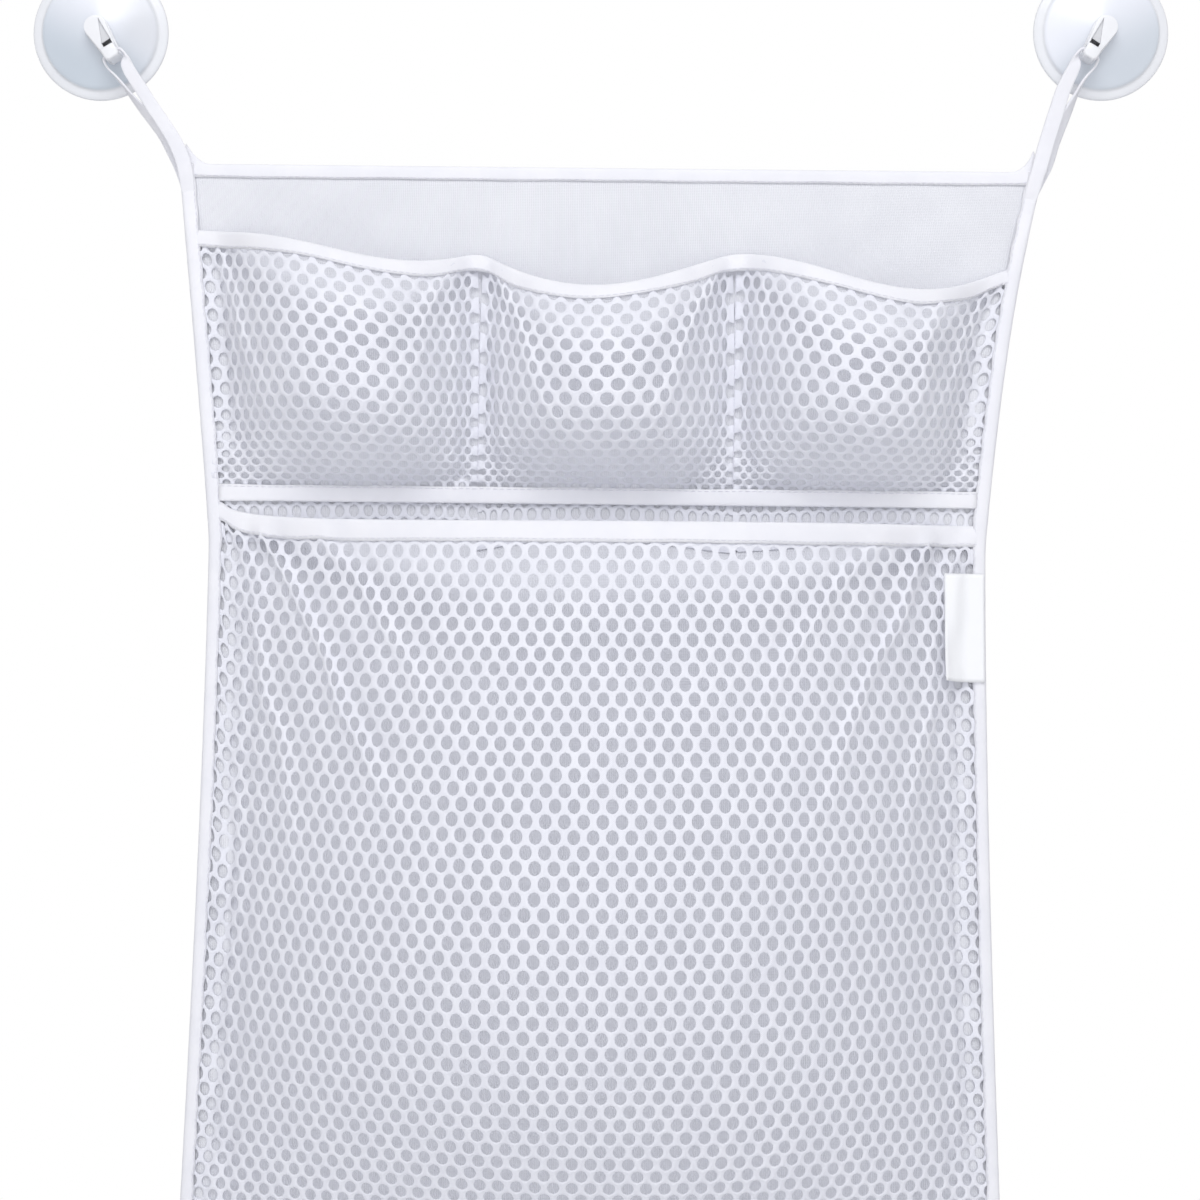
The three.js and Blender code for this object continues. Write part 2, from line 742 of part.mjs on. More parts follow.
for (const [name, side] of [['left', -1], ['right', 1]]) {
  const hanger = new THREE.Group();
  hanger.position.x = (side * cupSpacing) / 2;
  hanger.rotation.y = side * strapAngle;
  organizer.add(hanger);
  addPiece(`${name}_suction_cup`, makeCup(), cupMilky, hanger);
  addPiece(`${name}_hook`, makeHook(), hookWhite, hanger);
  addPiece(`${name}_strap_loop`, makeStrap(), tapeWhite, hanger);
  const tackDepth = netFront + clearance + tapeThickness + clearance;
  addPiece(`${name}_corner_tack`, frontBlock(
    side * cornerX, tackDepth, cornerZ + tackHeight / 2, tackWidth, threadThickness, tackHeight,
  ), threadWhite);
}

export default organizer;
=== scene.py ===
# The looks of a hanging mesh bath toy organizer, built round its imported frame.
# Shapes are worked out in millimetres and turned into metres when a mesh is made.
# The wall is the plane y = 0, the bag hangs on its -Y side, and +Z is up.
# Depths are measured out from the wall, along -Y.

import json
from math import asin, atan2, cos, exp, hypot, log, pi, radians, sin, tanh, tau

import bmesh
import bpy
import numpy as np
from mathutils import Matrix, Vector

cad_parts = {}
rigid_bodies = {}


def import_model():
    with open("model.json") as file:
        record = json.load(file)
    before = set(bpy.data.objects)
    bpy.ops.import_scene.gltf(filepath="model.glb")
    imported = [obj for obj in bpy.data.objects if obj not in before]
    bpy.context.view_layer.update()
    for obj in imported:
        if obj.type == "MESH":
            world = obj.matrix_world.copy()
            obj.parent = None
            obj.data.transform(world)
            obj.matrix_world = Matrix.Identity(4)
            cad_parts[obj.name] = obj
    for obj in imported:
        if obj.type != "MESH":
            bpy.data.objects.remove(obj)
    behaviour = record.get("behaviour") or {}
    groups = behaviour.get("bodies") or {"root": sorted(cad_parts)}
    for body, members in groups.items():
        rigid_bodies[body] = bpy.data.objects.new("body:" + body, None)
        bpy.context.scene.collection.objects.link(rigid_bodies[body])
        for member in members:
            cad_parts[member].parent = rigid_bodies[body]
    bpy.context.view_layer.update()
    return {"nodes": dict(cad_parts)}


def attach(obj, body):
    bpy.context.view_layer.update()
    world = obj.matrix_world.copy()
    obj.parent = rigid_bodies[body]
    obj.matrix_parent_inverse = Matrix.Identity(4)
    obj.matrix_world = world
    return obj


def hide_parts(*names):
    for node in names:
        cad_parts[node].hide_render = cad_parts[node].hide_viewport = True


MM = 0.001

# Waves one millimetre long turn through this many radians in a metre
FULL_TURNS = 6283.0

# Bag outline and layers, as in the part's source
TOP_HALF_WIDTH = 187
WAIST_HALF_WIDTH = 172
BOTTOM_HALF_WIDTH = 184
BAG_TOP = -59
BAG_BOTTOM = -567
WAIST_Z = -225
UPPER_FLARE = 1.1
LOWER_FLARE = 1.4
PANEL_DEPTH = 3.4
NET_DEPTH = 5.3
SIDE_TAPE_WIDTH = 6.7
TOP_HEM_HEIGHT = 6
SEAM_RELIEF = 0.6

# How a pocket swells
ACROSS_POWER = 2.4
SWELL_POWER = 1.15
FOOT_POWER = 2.2
DEEPEST = 0.55

# How far the gathers reach from a sewn side, and how far a net lies flat beside a side tape
GATHER_REACH = 20
FLAT_BESIDE_TAPE = 7.5
TO_TAPE = 5.4

# How far a net goes on below its foot seam: an allowance, or a fringe behind the next pocket
FOOT_ALLOWANCE = 6.2
FRINGE = 24.4
FRINGE_BACK = 0.95
FRINGE_FLAT = 17

# Hangers: cup axes, hook and strap
CUP_X = 222
PLATE_BACK = 8.7
PLATE_FRONT = 11.5
BOSS_FRONT = 14.2
SLOT = (7.9, 10.7)
TROUGH = 6.4
CORNER_X = TOP_HALF_WIDTH - SIDE_TAPE_WIDTH / 2
CORNER_Z = BAG_TOP - TOP_HEM_HEIGHT / 2
STRAP_ANGLE = atan2(CUP_X - CORNER_X, -CORNER_Z)

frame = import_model()


# Node trees


def operator(operation, swapped=False):
    """A method that adds one Math node for a sign such as + or *."""

    def apply(self, other):
        return self.sum(operation, *((other, self) if swapped else (self, other)))

    return apply


class Reading:
    """A socket of a node tree that takes part in sums."""

    def __init__(self, tree, socket):
        self.tree = tree
        self.socket = socket

    def sum(self, operation, *values):
        return self.tree.node("ShaderNodeMath", {"operation": operation}, *values)

    __add__, __radd__ = operator("ADD"), operator("ADD", swapped=True)
    __sub__, __rsub__ = operator("SUBTRACT"), operator("SUBTRACT", swapped=True)
    __mul__, __rmul__ = operator("MULTIPLY"), operator("MULTIPLY", swapped=True)
    __truediv__, __pow__ = operator("DIVIDE"), operator("POWER")

    def sine(self):
        return self.sum("SINE", self)

    def size(self):
        return self.sum("ABSOLUTE", self)

    def above(self, number):
        return self.sum("GREATER_THAN", self, number)

    def waves(self, pitch):
        """A sine with a wave every pitch millimetres."""
        return (self * FULL_TURNS / pitch).sine()

    def ramp(self, low, high):
        """0 below low, 1 above high and smooth between."""
        settings = {"interpolation_type": "SMOOTHSTEP"}
        return self.tree.node("ShaderNodeMapRange", settings, self, low, high, 0.0, 1.0)


class Tree:
    """A node tree that grows as readings are asked of it."""

    def __init__(self, group):
        self.group = group

    def node(self, kind, settings=None, *values, out=0, **named):
        node = self.group.nodes.new(kind)
        for key, value in (settings or {}).items():
            setattr(node, key, value)
        for socket, value in zip(node.inputs, values):
            self.feed(value, socket)
        for key, value in named.items():
            self.feed(value, node.inputs[key.replace("_", " ")])
        return Reading(self, node.outputs[out])

    def feed(self, value, socket):
        if isinstance(value, Reading):
            self.group.links.new(value.socket, socket)
        elif value is not None:
            socket.default_value = value

    def also(self, reading, out):
        """Another output of the node that a reading came from."""
        return Reading(self, reading.socket.node.outputs[out])

    def seen_directly(self):
        """1 where the camera sees a surface, also in gloss or through glass."""
        seen = self.node("ShaderNodeLightPath", out="Is Camera Ray")
        glossy = self.also(seen, "Is Glossy Ray")
        through = self.also(seen, "Is Transmission Ray")
        return seen.sum("MAXIMUM", seen, seen.sum("MAXIMUM", glossy, through))

    def turned(self, vector, scale=(1, 1, 1), angles=(0, 0, 0)):
        return self.node("ShaderNodeMapping", None, vector, None, angles, scale)

    def noise(self, vector, scale, detail=2.0):
        return self.node("ShaderNodeTexNoise", None, vector, Scale=scale, Detail=detail)

    def between(self, kind, share, first, second):
        """A share of the way from one colour or vector to another."""
        start, out = {"RGBA": (6, 2), "VECTOR": (4, 1)}[kind]
        node = self.group.nodes.new("ShaderNodeMix")
        node.data_type = kind
        for index, value in ((0, share), (start, first), (start + 1, second)):
            self.feed(value, node.inputs[index])
        return Reading(self, node.outputs[out])

    def colour_between(self, share, *colours):
        """A mix of two colours, each a reading or three numbers."""
        pair = (c if isinstance(c, Reading) else (*c, 1) for c in colours)
        return self.between("RGBA", share, *pair)


class Finish(Tree):
    """A material round one shader, with its fixed values on the shader's own sockets."""

    def __init__(self, name, **fixed):
        self.material = bpy.data.materials.new(name)
        self.material.use_nodes = True
        super().__init__(self.material.node_tree)
        self.shader = self.group.nodes["Principled BSDF"]
        for key, value in fixed.items():
            self.shader.inputs[key.replace("_", " ")].default_value = value

    def place(self):
        return self.node("ShaderNodeTexCoord", out="Object")

    def cloth(self):
        """Metres along and across the cloth, from the piece's own attribute."""
        return self.node("ShaderNodeAttribute", {"attribute_name": "cloth"}, out="Vector")

    def axes(self, vector):
        x = self.node("ShaderNodeSeparateXYZ", None, vector, out="X")
        return x, self.also(x, "Y"), self.also(x, "Z")

    def wear(self, **readings):
        for key, value in readings.items():
            self.feed(value, self.shader.inputs[key.replace("_", " ")])

    def done(self, tone, roughness, height, depth, strength):
        """The material, once its colour, its roughness and its relief are known."""
        sizes = {"Strength": strength, "Distance": depth, "Height": height}
        bump = self.node("ShaderNodeBump", **sizes)
        self.wear(Base_Color=tone, Roughness=roughness, Normal=bump)
        return self.material


class Maker(Tree):
    """A geometry tree with named inputs, ending in realized instances and a material."""

    def __init__(self, name, **inputs):
        super().__init__(bpy.data.node_groups.new(name, "GeometryNodeTree"))
        sockets = self.group.interface
        sockets.new_socket("Geometry", in_out="INPUT", socket_type="NodeSocketGeometry")
        for key, kind in inputs.items():
            sockets.new_socket(key.replace("_", " "), in_out="INPUT", socket_type=kind)
        sockets.new_socket("Geometry", in_out="OUTPUT", socket_type="NodeSocketGeometry")
        self.entry = self.group.nodes.new("NodeGroupInput")

    def given(self, name):
        return Reading(self, self.entry.outputs[name])

    def attribute(self, name, kind):
        return self.node("GeometryNodeInputNamedAttribute", {"data_type": kind}, name)

    def scaled(self, vector, number):
        return self.node("ShaderNodeVectorMath", {"operation": "SCALE"}, vector, Scale=number)

    def end(self, geometry):
        whole = self.node("GeometryNodeRealizeInstances", None, geometry)
        dressed = self.node("GeometryNodeSetMaterial", None, whole, Material=self.given("Material"))
        self.group.links.new(dressed.socket, self.group.nodes.new("NodeGroupOutput").inputs[0])
        return self.group


# Meshes


def placed(name, data):
    """A new object in the scene."""
    holder = bpy.data.objects.new(name, data)
    bpy.context.scene.collection.objects.link(holder)
    return holder


def mesh_object(name, points, faces=(), edges=()):
    mesh = bpy.data.meshes.new(name)
    mesh.from_pydata([tuple(MM * float(c) for c in p) for p in points], list(edges), list(faces))
    mesh.update()
    mesh.polygons.foreach_set("use_smooth", [True] * len(mesh.polygons))
    return placed(name, mesh)


def add_attribute(piece, name, kind, domain, values):
    layer = piece.data.attributes.new(name, kind, domain)
    key = "vector" if kind == "FLOAT_VECTOR" else "value"
    values = np.asarray(values, bool if kind == "BOOLEAN" else float)
    layer.data.foreach_set(key, values.ravel())


def finished(piece):
    """The piece with its modifiers worked into one plain mesh."""
    graph = bpy.context.evaluated_depsgraph_get()
    mesh = bpy.data.meshes.new_from_object(
        piece.evaluated_get(graph), preserve_all_data_layers=True, depsgraph=graph
    )
    piece.modifiers.clear()
    piece.data = mesh
    mesh.name = piece.name
    return piece


def modified(piece, kind, **settings):
    """The piece with one modifier worked in."""
    modifier = piece.modifiers.new(kind.lower(), kind)
    for key, value in settings.items():
        setattr(modifier, key, value)
    return finished(piece)


def made_by(group, piece, **inputs):
    """The piece put through a geometry tree, its inputs set before it is first worked out."""
    modifier = piece.modifiers.new("maker", "NODES")
    modifier.node_group = group
    for item in group.interface.items_tree:
        key = item.name.replace(" ", "_")
        if item.in_out == "INPUT" and key in inputs:
            modifier[item.identifier] = inputs[key]
    return finished(piece)


def outward(piece):
    """Faces turned out, for a closed mesh."""
    build = bmesh.new()
    build.from_mesh(piece.data)
    bmesh.ops.remove_doubles(build, verts=build.verts, dist=1e-7)
    bmesh.ops.recalc_face_normals(build, faces=build.faces)
    build.to_mesh(piece.data)
    build.free()
    return piece


def grid_faces(rows, columns):
    faces = []
    for r in range(rows - 1):
        for c in range(columns - 1):
            a = r * columns + c
            faces.append((a, a + 1, a + columns + 1, a + columns))
    return faces


def ring_faces(rings, size):
    """Faces of a tube of rings, each with as many points."""
    faces = []
    for r in range(rings - 1):
        for k in range(size):
            a, b = r * size + k, r * size + (k + 1) % size
            faces.append((a, b, b + size, a + size))
    return faces


def lengths(points):
    """Distance along a line of points at each of them."""
    steps = np.linalg.norm(np.diff(np.asarray(points, float), axis=0), axis=1)
    return np.concatenate([[0], np.cumsum(steps)])


def cloth_piece(name, grid, thickness, material):
    """A sheet from a grid of points, with a thickness and its own cloth coordinates in metres."""
    grid = np.asarray(grid, float)
    rows, columns = grid.shape[:2]
    piece = mesh_object(name, grid.reshape(-1, 3), grid_faces(rows, columns))
    along = lengths(grid[:, columns // 2])
    across = lengths(grid[rows // 2])
    cloth = [(MM * along[r], MM * across[c], 0) for r in range(rows) for c in range(columns)]
    add_attribute(piece, "cloth", "FLOAT_VECTOR", "POINT", cloth)
    piece.data.materials.append(material)
    return outward(modified(piece, "SOLIDIFY", thickness=MM * thickness, offset=0))


def smooth_step(value):
    value = np.clip(value, 0, 1)
    return value * value * (3 - 2 * value)


def mix(a, b, share):
    return a + (b - a) * share


# Shape of the bag


def half_width(z):
    """Half of the bag's width, which is least at the waist."""
    z = np.asarray(z, float)
    above = np.clip((z - WAIST_Z) / (BAG_TOP - WAIST_Z), 0, None)
    below = np.clip((WAIST_Z - z) / (WAIST_Z - BAG_BOTTOM), 0, None)
    upper = (TOP_HALF_WIDTH - WAIST_HALF_WIDTH) * above**UPPER_FLARE
    lower = (BOTTOM_HALF_WIDTH - WAIST_HALF_WIDTH) * below**LOWER_FLARE
    return WAIST_HALF_WIDTH + upper + lower


def side_seam(side):
    return lambda z: side * (half_width(z) - SIDE_TAPE_WIDTH - SEAM_RELIEF)


def divider(x):
    return lambda z: x + 0 * np.asarray(z, float)


class Pocket:
    """The surface of a pocket, measured along its own cloth.
    u runs from its left end to its right end and v from its mouth to its foot, each from 0 to 1."""

    SAMPLES = 200

    def __init__(
        self, left, right, margins, mouth, foot, below_foot, bulge, mouth_share, folds, fullness
    ):
        self.left = left
        self.right = right
        self.margins = margins
        self.flats = [FLAT_BESIDE_TAPE * (margin == TO_TAPE) for margin in margins]
        self.mouth = mouth
        self.foot = foot
        self.fringed = below_foot == FRINGE
        self.bulge = bulge
        self.mouth_share = mouth_share
        self.folds = folds
        height = float(self.mouth_at(np.array(0.5))) - foot
        self.downs = np.linspace(0, 1 + below_foot / height, self.SAMPLES)
        self.down_lengths = lengths(self.plain(0.5 + 0 * self.downs, self.downs))
        self.drop = self.down_lengths[-1]
        self.sections = {}
        self.width = self.section(0.5)[2][-1]
        shares = np.linspace(0, 1, 400)
        ends = (np.exp(-((s * self.width / GATHER_REACH) ** 2)) for s in (shares, 1 - shares))
        crowding = 1 + sum(extra * end for extra, end in zip(fullness, ends))
        self.shares = shares
        self.cloth_shares = lengths(np.cumsum(crowding)[:, None])
        self.span = self.width * crowding.mean()
        self.cloth_shares /= self.cloth_shares[-1]

    def mouth_at(self, across):
        """Height of the mouth, which hangs lowest at a share of the way across."""
        left, right, dip, lowest = self.mouth
        lean = log(0.5) / log(lowest)
        return mix(left, right, across) - dip * np.sin(np.pi * across**lean)

    def plain(self, across, down):
        """Points at shares of the way across and down, before any fold."""
        z = mix(self.mouth_at(np.clip(across, 0, 1)), self.foot, down)
        width = self.right(z) - self.left(z)
        x = self.left(z) + width * across
        inner = (across * width - self.flats[0]) / (width - sum(self.flats))
        swell = np.clip(1 - np.abs(2 * inner - 1) ** ACROSS_POWER, 0, None) ** SWELL_POWER
        upper = mix(self.mouth_share, 1, np.sin(np.pi / 2 * np.clip(down / DEEPEST, 0, 1)))
        lower = 1 - np.clip((down - DEEPEST) / (1 - DEEPEST), 0, 1) ** FOOT_POWER
        fringe = FRINGE_BACK * smooth_step((down - 1) * 12) * self.fringed
        depth = NET_DEPTH - fringe + self.bulge * swell * np.where(down < DEEPEST, upper, lower)
        return np.stack([x, -depth, z], axis=-1)

    def section(self, v):
        """(share down, shares across, lengths along the cloth) of the level line at v."""
        key = round(float(v), 6)
        if key not in self.sections:
            down = float(np.interp(v * self.drop, self.down_lengths, self.downs))
            width = float(self.right(self.foot) - self.left(self.foot))
            ends = [-self.margins[0] / width, 1 + self.margins[1] / width]
            across = np.linspace(*ends, self.SAMPLES)
            line = self.plain(across, down + 0 * across)
            self.sections[key] = (down, across, lengths(line))
        return self.sections[key]

    def at(self, u, v):
        """One point of the cloth, folds and all. The cloth is gathered towards its sewn sides."""
        down, acrosses, along = self.section(v)
        share = np.interp(u, self.cloth_shares, self.shares)
        lift, drift = self.folds(share * self.width, v * self.drop, self)
        across = np.interp((share + drift / self.width) * along[-1], along, acrosses)
        point = self.plain(np.array([across]), np.array([down]))[0]
        return point + np.array([0, -lift, 0])

    def normal(self, u, v):
        step = 0.004
        low_u, high_u = max(u - step, 0), min(u + step, 1)
        low_v, high_v = max(v - step, 0), min(v + step, 1)
        across = self.at(high_u, v) - self.at(low_u, v)
        down = self.at(u, high_v) - self.at(u, low_v)
        way = np.cross(across, down)
        way = way if way[1] < 0 else -way
        return way / np.linalg.norm(way)


def bump_line(value, middle, width):
    return exp(-(((value - middle) / width) ** 2))


def gathers(u, v, pocket, side=1.0, foot=1.0):
    """Small pleats at the sewn edges of a pocket, in millimetres towards the front."""
    from_side = min(u, pocket.width - u)
    from_foot = pocket.drop - v - (FRINGE_FLAT if pocket.fringed else 0)
    near_foot = bump_line(from_foot, 9, 22) * smooth_step(from_foot / 9)
    near_side = bump_line(from_side, 12, 16) * smooth_step(from_side / 8)
    foot_waves = sin(u / 2.9 + 0.8 * sin(u / 13)) + 0.6 * sin(u / 5.3 + 1.1)
    side_waves = sin(v / 5.1 + 0.9 * sin(v / 17)) + 0.5 * sin(v / 8.7 + u / 9)
    upright = sin(from_side / 2.1 + 0.9 * sin(v / 38) + 0.5 * sin(v / 15))
    along_sides = side * near_side * (0.5 * side_waves + 0.9 * upright)
    return foot * 0.9 * near_foot * foot_waves + along_sides


def creases(u, v, pocket, lines):
    """Lift towards the front and drift across, where the net is drawn into creases.
    Each line has the side it starts from, its distance from it, its lean, its height and how far
    down it reaches."""
    lift = drift = 0
    for side, middle, lean, height, reach in lines:
        from_line = (u if side > 0 else pocket.width - u) - middle - lean * v
        from_line += 2.2 * sin(v / 13 + middle) + 1.2 * sin(v / 5.7)
        share = smooth_step(v / 10) * (1 - smooth_step((v - 0.4 * reach) / (0.6 * reach)))
        lift += height * share * (bump_line(from_line, 0, 5) - 0.7 * bump_line(from_line, 11, 7))
        pinch = tanh(from_line / 6) * bump_line(from_line, 0, 26)
        drift -= side * 0.9 * height * share * pinch
    return lift, drift


def small_folds(lines):
    def folds(u, v, pocket):
        fade = smooth_step(min(u, pocket.width - u) / 25) * smooth_step((pocket.drop - v) / 30)
        broad = sin(u / 21 + v / 33) * sin(v / 25 - u / 40)
        lift, drift = creases(u, v, pocket, lines)
        flat = smooth_step((pocket.drop - v - 22) / 7)
        waves = gathers(u, v, pocket) + 1.9 * fade * broad * smooth_step(v / 30)
        return waves * flat + lift, drift

    return folds


def large_folds(u, v, pocket):
    fade = smooth_step(min(u, pocket.width - u) / 40) * smooth_step((pocket.drop - v) / 40)
    broad = sin(u / 41 + v / 60 + 0.6) * sin(v / 47 - u / 90)
    lines = (
        (1, 26, 0.62, 3.4, 150),
        (1, 58, 0.8, 2.2, 110),
        (1, 9, 0.3, 2.0, 190),
        (-1, 24, 0.55, 3.0, 150),
        (-1, 52, 0.85, 2.0, 110),
        (-1, 8, 0.25, 2.0, 200),
    )
    lift, drift = creases(u, v, pocket, lines)
    return gathers(u, v, pocket, side=1.2, foot=1.8) + 2.6 * fade * broad + lift, drift


UPPER_FOOT = -199.4
UPPER_BULGE = 44
LOWER_FOOT = -559.7
LOWER_BULGE = 72
DIVIDERS = (-53, 60)
DIVIDER_HALF = 1.8
DIVIDER_TOPS = (-98.5, -97.5)
TO_THREAD = DIVIDER_HALF + 0.02
AT_TAPE = 0.25
AT_THREAD = 0.4


def upper_pocket(left, right, margins, mouth, fullness, lines):
    shape = (UPPER_FOOT, FRINGE, UPPER_BULGE, 0.62, small_folds(lines), fullness)
    return Pocket(left, right, margins, mouth, *shape)


pockets = {
    "upper_left_net": upper_pocket(
        side_seam(-1),
        divider(DIVIDERS[0] - DIVIDER_HALF),
        (TO_TAPE, TO_THREAD),
        (-89.5, DIVIDER_TOPS[0], 9, 0.7),
        (AT_TAPE, AT_THREAD),
        ((1, 12, 0.35, 1.6, 90), (-1, 16, 0.5, 1.8, 70)),
    ),
    "upper_middle_net": upper_pocket(
        divider(DIVIDERS[0] + DIVIDER_HALF),
        divider(DIVIDERS[1] - DIVIDER_HALF),
        (TO_THREAD, TO_THREAD),
        (*DIVIDER_TOPS, 17.4, 0.45),
        (AT_THREAD, AT_THREAD),
        ((1, 14, 0.5, 1.8, 75), (-1, 14, 0.55, 2.0, 80)),
    ),
    "upper_right_net": upper_pocket(
        divider(DIVIDERS[1] + DIVIDER_HALF),
        side_seam(1),
        (TO_THREAD, TO_TAPE),
        (DIVIDER_TOPS[1], -103, 14.4, 0.62),
        (AT_THREAD, AT_TAPE),
        ((-1, 46, 0.1, 2.2, 80), (-1, 12, 0.4, 1.8, 80)),
    ),
    "lower_net": Pocket(
        side_seam(-1),
        side_seam(1),
        (TO_TAPE, TO_TAPE),
        (-208.5, -217, 7.5, 0.15),
        LOWER_FOOT,
        FOOT_ALLOWANCE,
        LOWER_BULGE,
        0.5,
        large_folds,
        (AT_TAPE, AT_TAPE),
    ),
}


# Finishes


def cloth_colours(finish, light, dark, scale=60.0):
    """Two tones in broad soft patches."""
    patches = finish.noise(finish.place(), scale, 3.0).ramp(0.3, 0.7)
    return finish.colour_between(patches, dark, light)


def net_knit():
    """Soft knitted net: fine loops that run down the strands."""
    finish = Finish("net_knit", Sheen_Weight=0.12, Sheen_Roughness=0.5)
    cloth = finish.cloth()
    along, across, _ = finish.axes(cloth)
    loops = along.waves(0.75) * across.waves(0.9)
    fuzz = finish.noise(cloth, 2500.0)
    tone = cloth_colours(finish, (0.84, 0.85, 0.915), (0.8, 0.81, 0.88))
    return finish.done(tone, 0.72 + 0.1 * fuzz, loops * 0.5 + fuzz, 0.0001, 0.5)


def panel_knit():
    """Fine smooth warp knit with faint ribs."""
    finish = Finish("panel_knit", Sheen_Weight=0.2, Sheen_Roughness=0.4)
    down, across, _ = finish.axes(finish.cloth())
    ribs, courses = across.waves(0.9), down.waves(0.7)
    mottle = finish.noise(finish.place(), 140.0, 3.0)
    base = cloth_colours(finish, (0.81, 0.82, 0.864), (0.782, 0.792, 0.838), 45.0)
    shaded = finish.colour_between(0.12 * (ribs + 1.0) * 0.5, base, (0.6, 0.6, 0.68))
    relief = ribs + 0.5 * courses + 2.0 * mottle
    return finish.done(shaded, 0.6 + 0.15 * mottle, relief, 0.00012, 0.5)


def binding_tape():
    """Smooth folded binding with a fine cross weave."""
    finish = Finish("binding_tape", Sheen_Weight=0.12, Sheen_Roughness=0.4)
    cloth = finish.cloth()
    along, across, _ = finish.axes(cloth)
    weave = along.waves(0.5) * across.waves(0.5)
    slubs = finish.noise(finish.turned(cloth, (1.0, 6.0, 1.0)), 400.0, 3.0)
    tone = cloth_colours(finish, (0.905, 0.907, 0.95), (0.868, 0.873, 0.925))
    return finish.done(tone, 0.66 + 0.14 * slubs, weave + 1.5 * slubs, 0.00008, 0.5)


def sewing_thread():
    """Two-ply polyester thread."""
    finish = Finish("sewing_thread", Sheen_Weight=0.1)
    x, _, z = finish.axes(finish.place())
    ply = (x + z).waves(0.4)
    tone = finish.colour_between(0.5 + 0.5 * ply, (0.74, 0.74, 0.82), (0.86, 0.86, 0.93))
    return finish.done(tone, 0.5 + 0.1 * ply, ply, 0.00006, 0.6)


def label_satin():
    """Blank satin ribbon."""
    finish = Finish("label_satin", Sheen_Weight=0.2, Sheen_Roughness=0.3)
    cloth = finish.cloth()
    _, across, _ = finish.axes(cloth)
    floats = finish.noise(finish.turned(cloth, (8.0, 1.0, 1.0)), 900.0)
    tone = finish.colour_between(floats, (0.89, 0.9, 0.93), (0.94, 0.95, 0.97))
    return finish.done(tone, 0.36 + 0.14 * floats, across.waves(0.35) * 0.5 + floats, 0.00006, 0.4)


def hook_plastic():
    """Moulded white plastic with faint flow marks, and shade in the slot and above it."""
    finish = Finish("hook_plastic", Coat_Weight=0.15, Coat_Roughness=0.2, IOR=1.49)
    place = finish.place()
    x, y, z = finish.axes(place)
    out = x.size() - MM * CUP_X
    lean = (sin(STRAP_ANGLE), cos(STRAP_ANGLE))
    drop = -1.0 * (out * lean[0] + z * lean[1])
    inner = z * lean[0] - out * lean[1]
    inside = inner.above(-2.0 * MM) * (MM * 3.2 - inner).above(0.0)
    inside = inside * drop.above(-6.0 * MM) * (MM * (SLOT[1] + 0.3) - drop).above(0.0)
    deep = inside * (MM * (BOSS_FRONT - 0.25) + y).above(0.0)
    shade = deep * (0.28 + 0.72 * drop.ramp(MM * (SLOT[0] - 0.5), MM * (SLOT[0] + 0.1)))
    flow = finish.noise(finish.turned(place, (1.0, 1.0, 3.0)), 70.0, 3.0)
    plain = finish.colour_between(flow, (0.8, 0.81, 0.84), (0.86, 0.87, 0.9))
    tone = finish.colour_between(shade, plain, (0.19, 0.195, 0.21))
    grain = finish.noise(place, 1800.0)
    return finish.done(tone, 0.26 + 0.12 * grain, flow + 0.3 * grain, 0.0001, 0.3)


def cup_vinyl():
    """Milky soft vinyl, pale at the rim, with painted shade that darkens and blues the dome low
    down and on its outer side, and on the inner side of the left cup.
    """
    finish = Finish("cup_vinyl", IOR=1.45, Coat_Weight=0.25, Coat_Roughness=0.15, Alpha=0.94)
    place = finish.place()
    x, _, z = finish.axes(place)
    out = x.size() - MM * CUP_X
    from_axis = (out * out + z * z) ** 0.5
    cloud = finish.noise(place, 45.0)
    # Painted shade: the dome grows darker low down and on its outer side, as if lit from above the
    # bag's middle
    low = (0.6 * out - z + 0.006 * cloud).ramp(-0.012, 0.024)
    left = (x * -1.0).above(0.0)
    # Painted shade on the inner side of the left cup's dome
    hollow = left * (-1.0 * out - 0.35 * z).ramp(0.002, 0.016)
    pale = finish.colour_between(cloud, (0.84, 0.86, 0.93), (0.88, 0.9, 0.96))
    pale = finish.colour_between(hollow, pale, (0.72, 0.74, 0.79))
    # The colour of the painted shade, a little darker on the left cup
    deep = finish.colour_between(left, (0.64, 0.69, 0.755), (0.59, 0.65, 0.72))
    dome = finish.colour_between(low, pale, deep)
    rim = finish.colour_between(cloud, (0.79, 0.81, 0.85), (0.85, 0.86, 0.89))
    tone = finish.colour_between(from_axis.ramp(0.0248, 0.0262), dome, rim)
    return finish.done(tone, 0.3 + 0.1 * cloud, cloud, 0.0003, 0.2)


net_material = net_knit()
panel_material = panel_knit()
tape_material = binding_tape()
thread_material = sewing_thread()
label_material = label_satin()
hook_material = hook_plastic()
cup_material = cup_vinyl()


# Nets


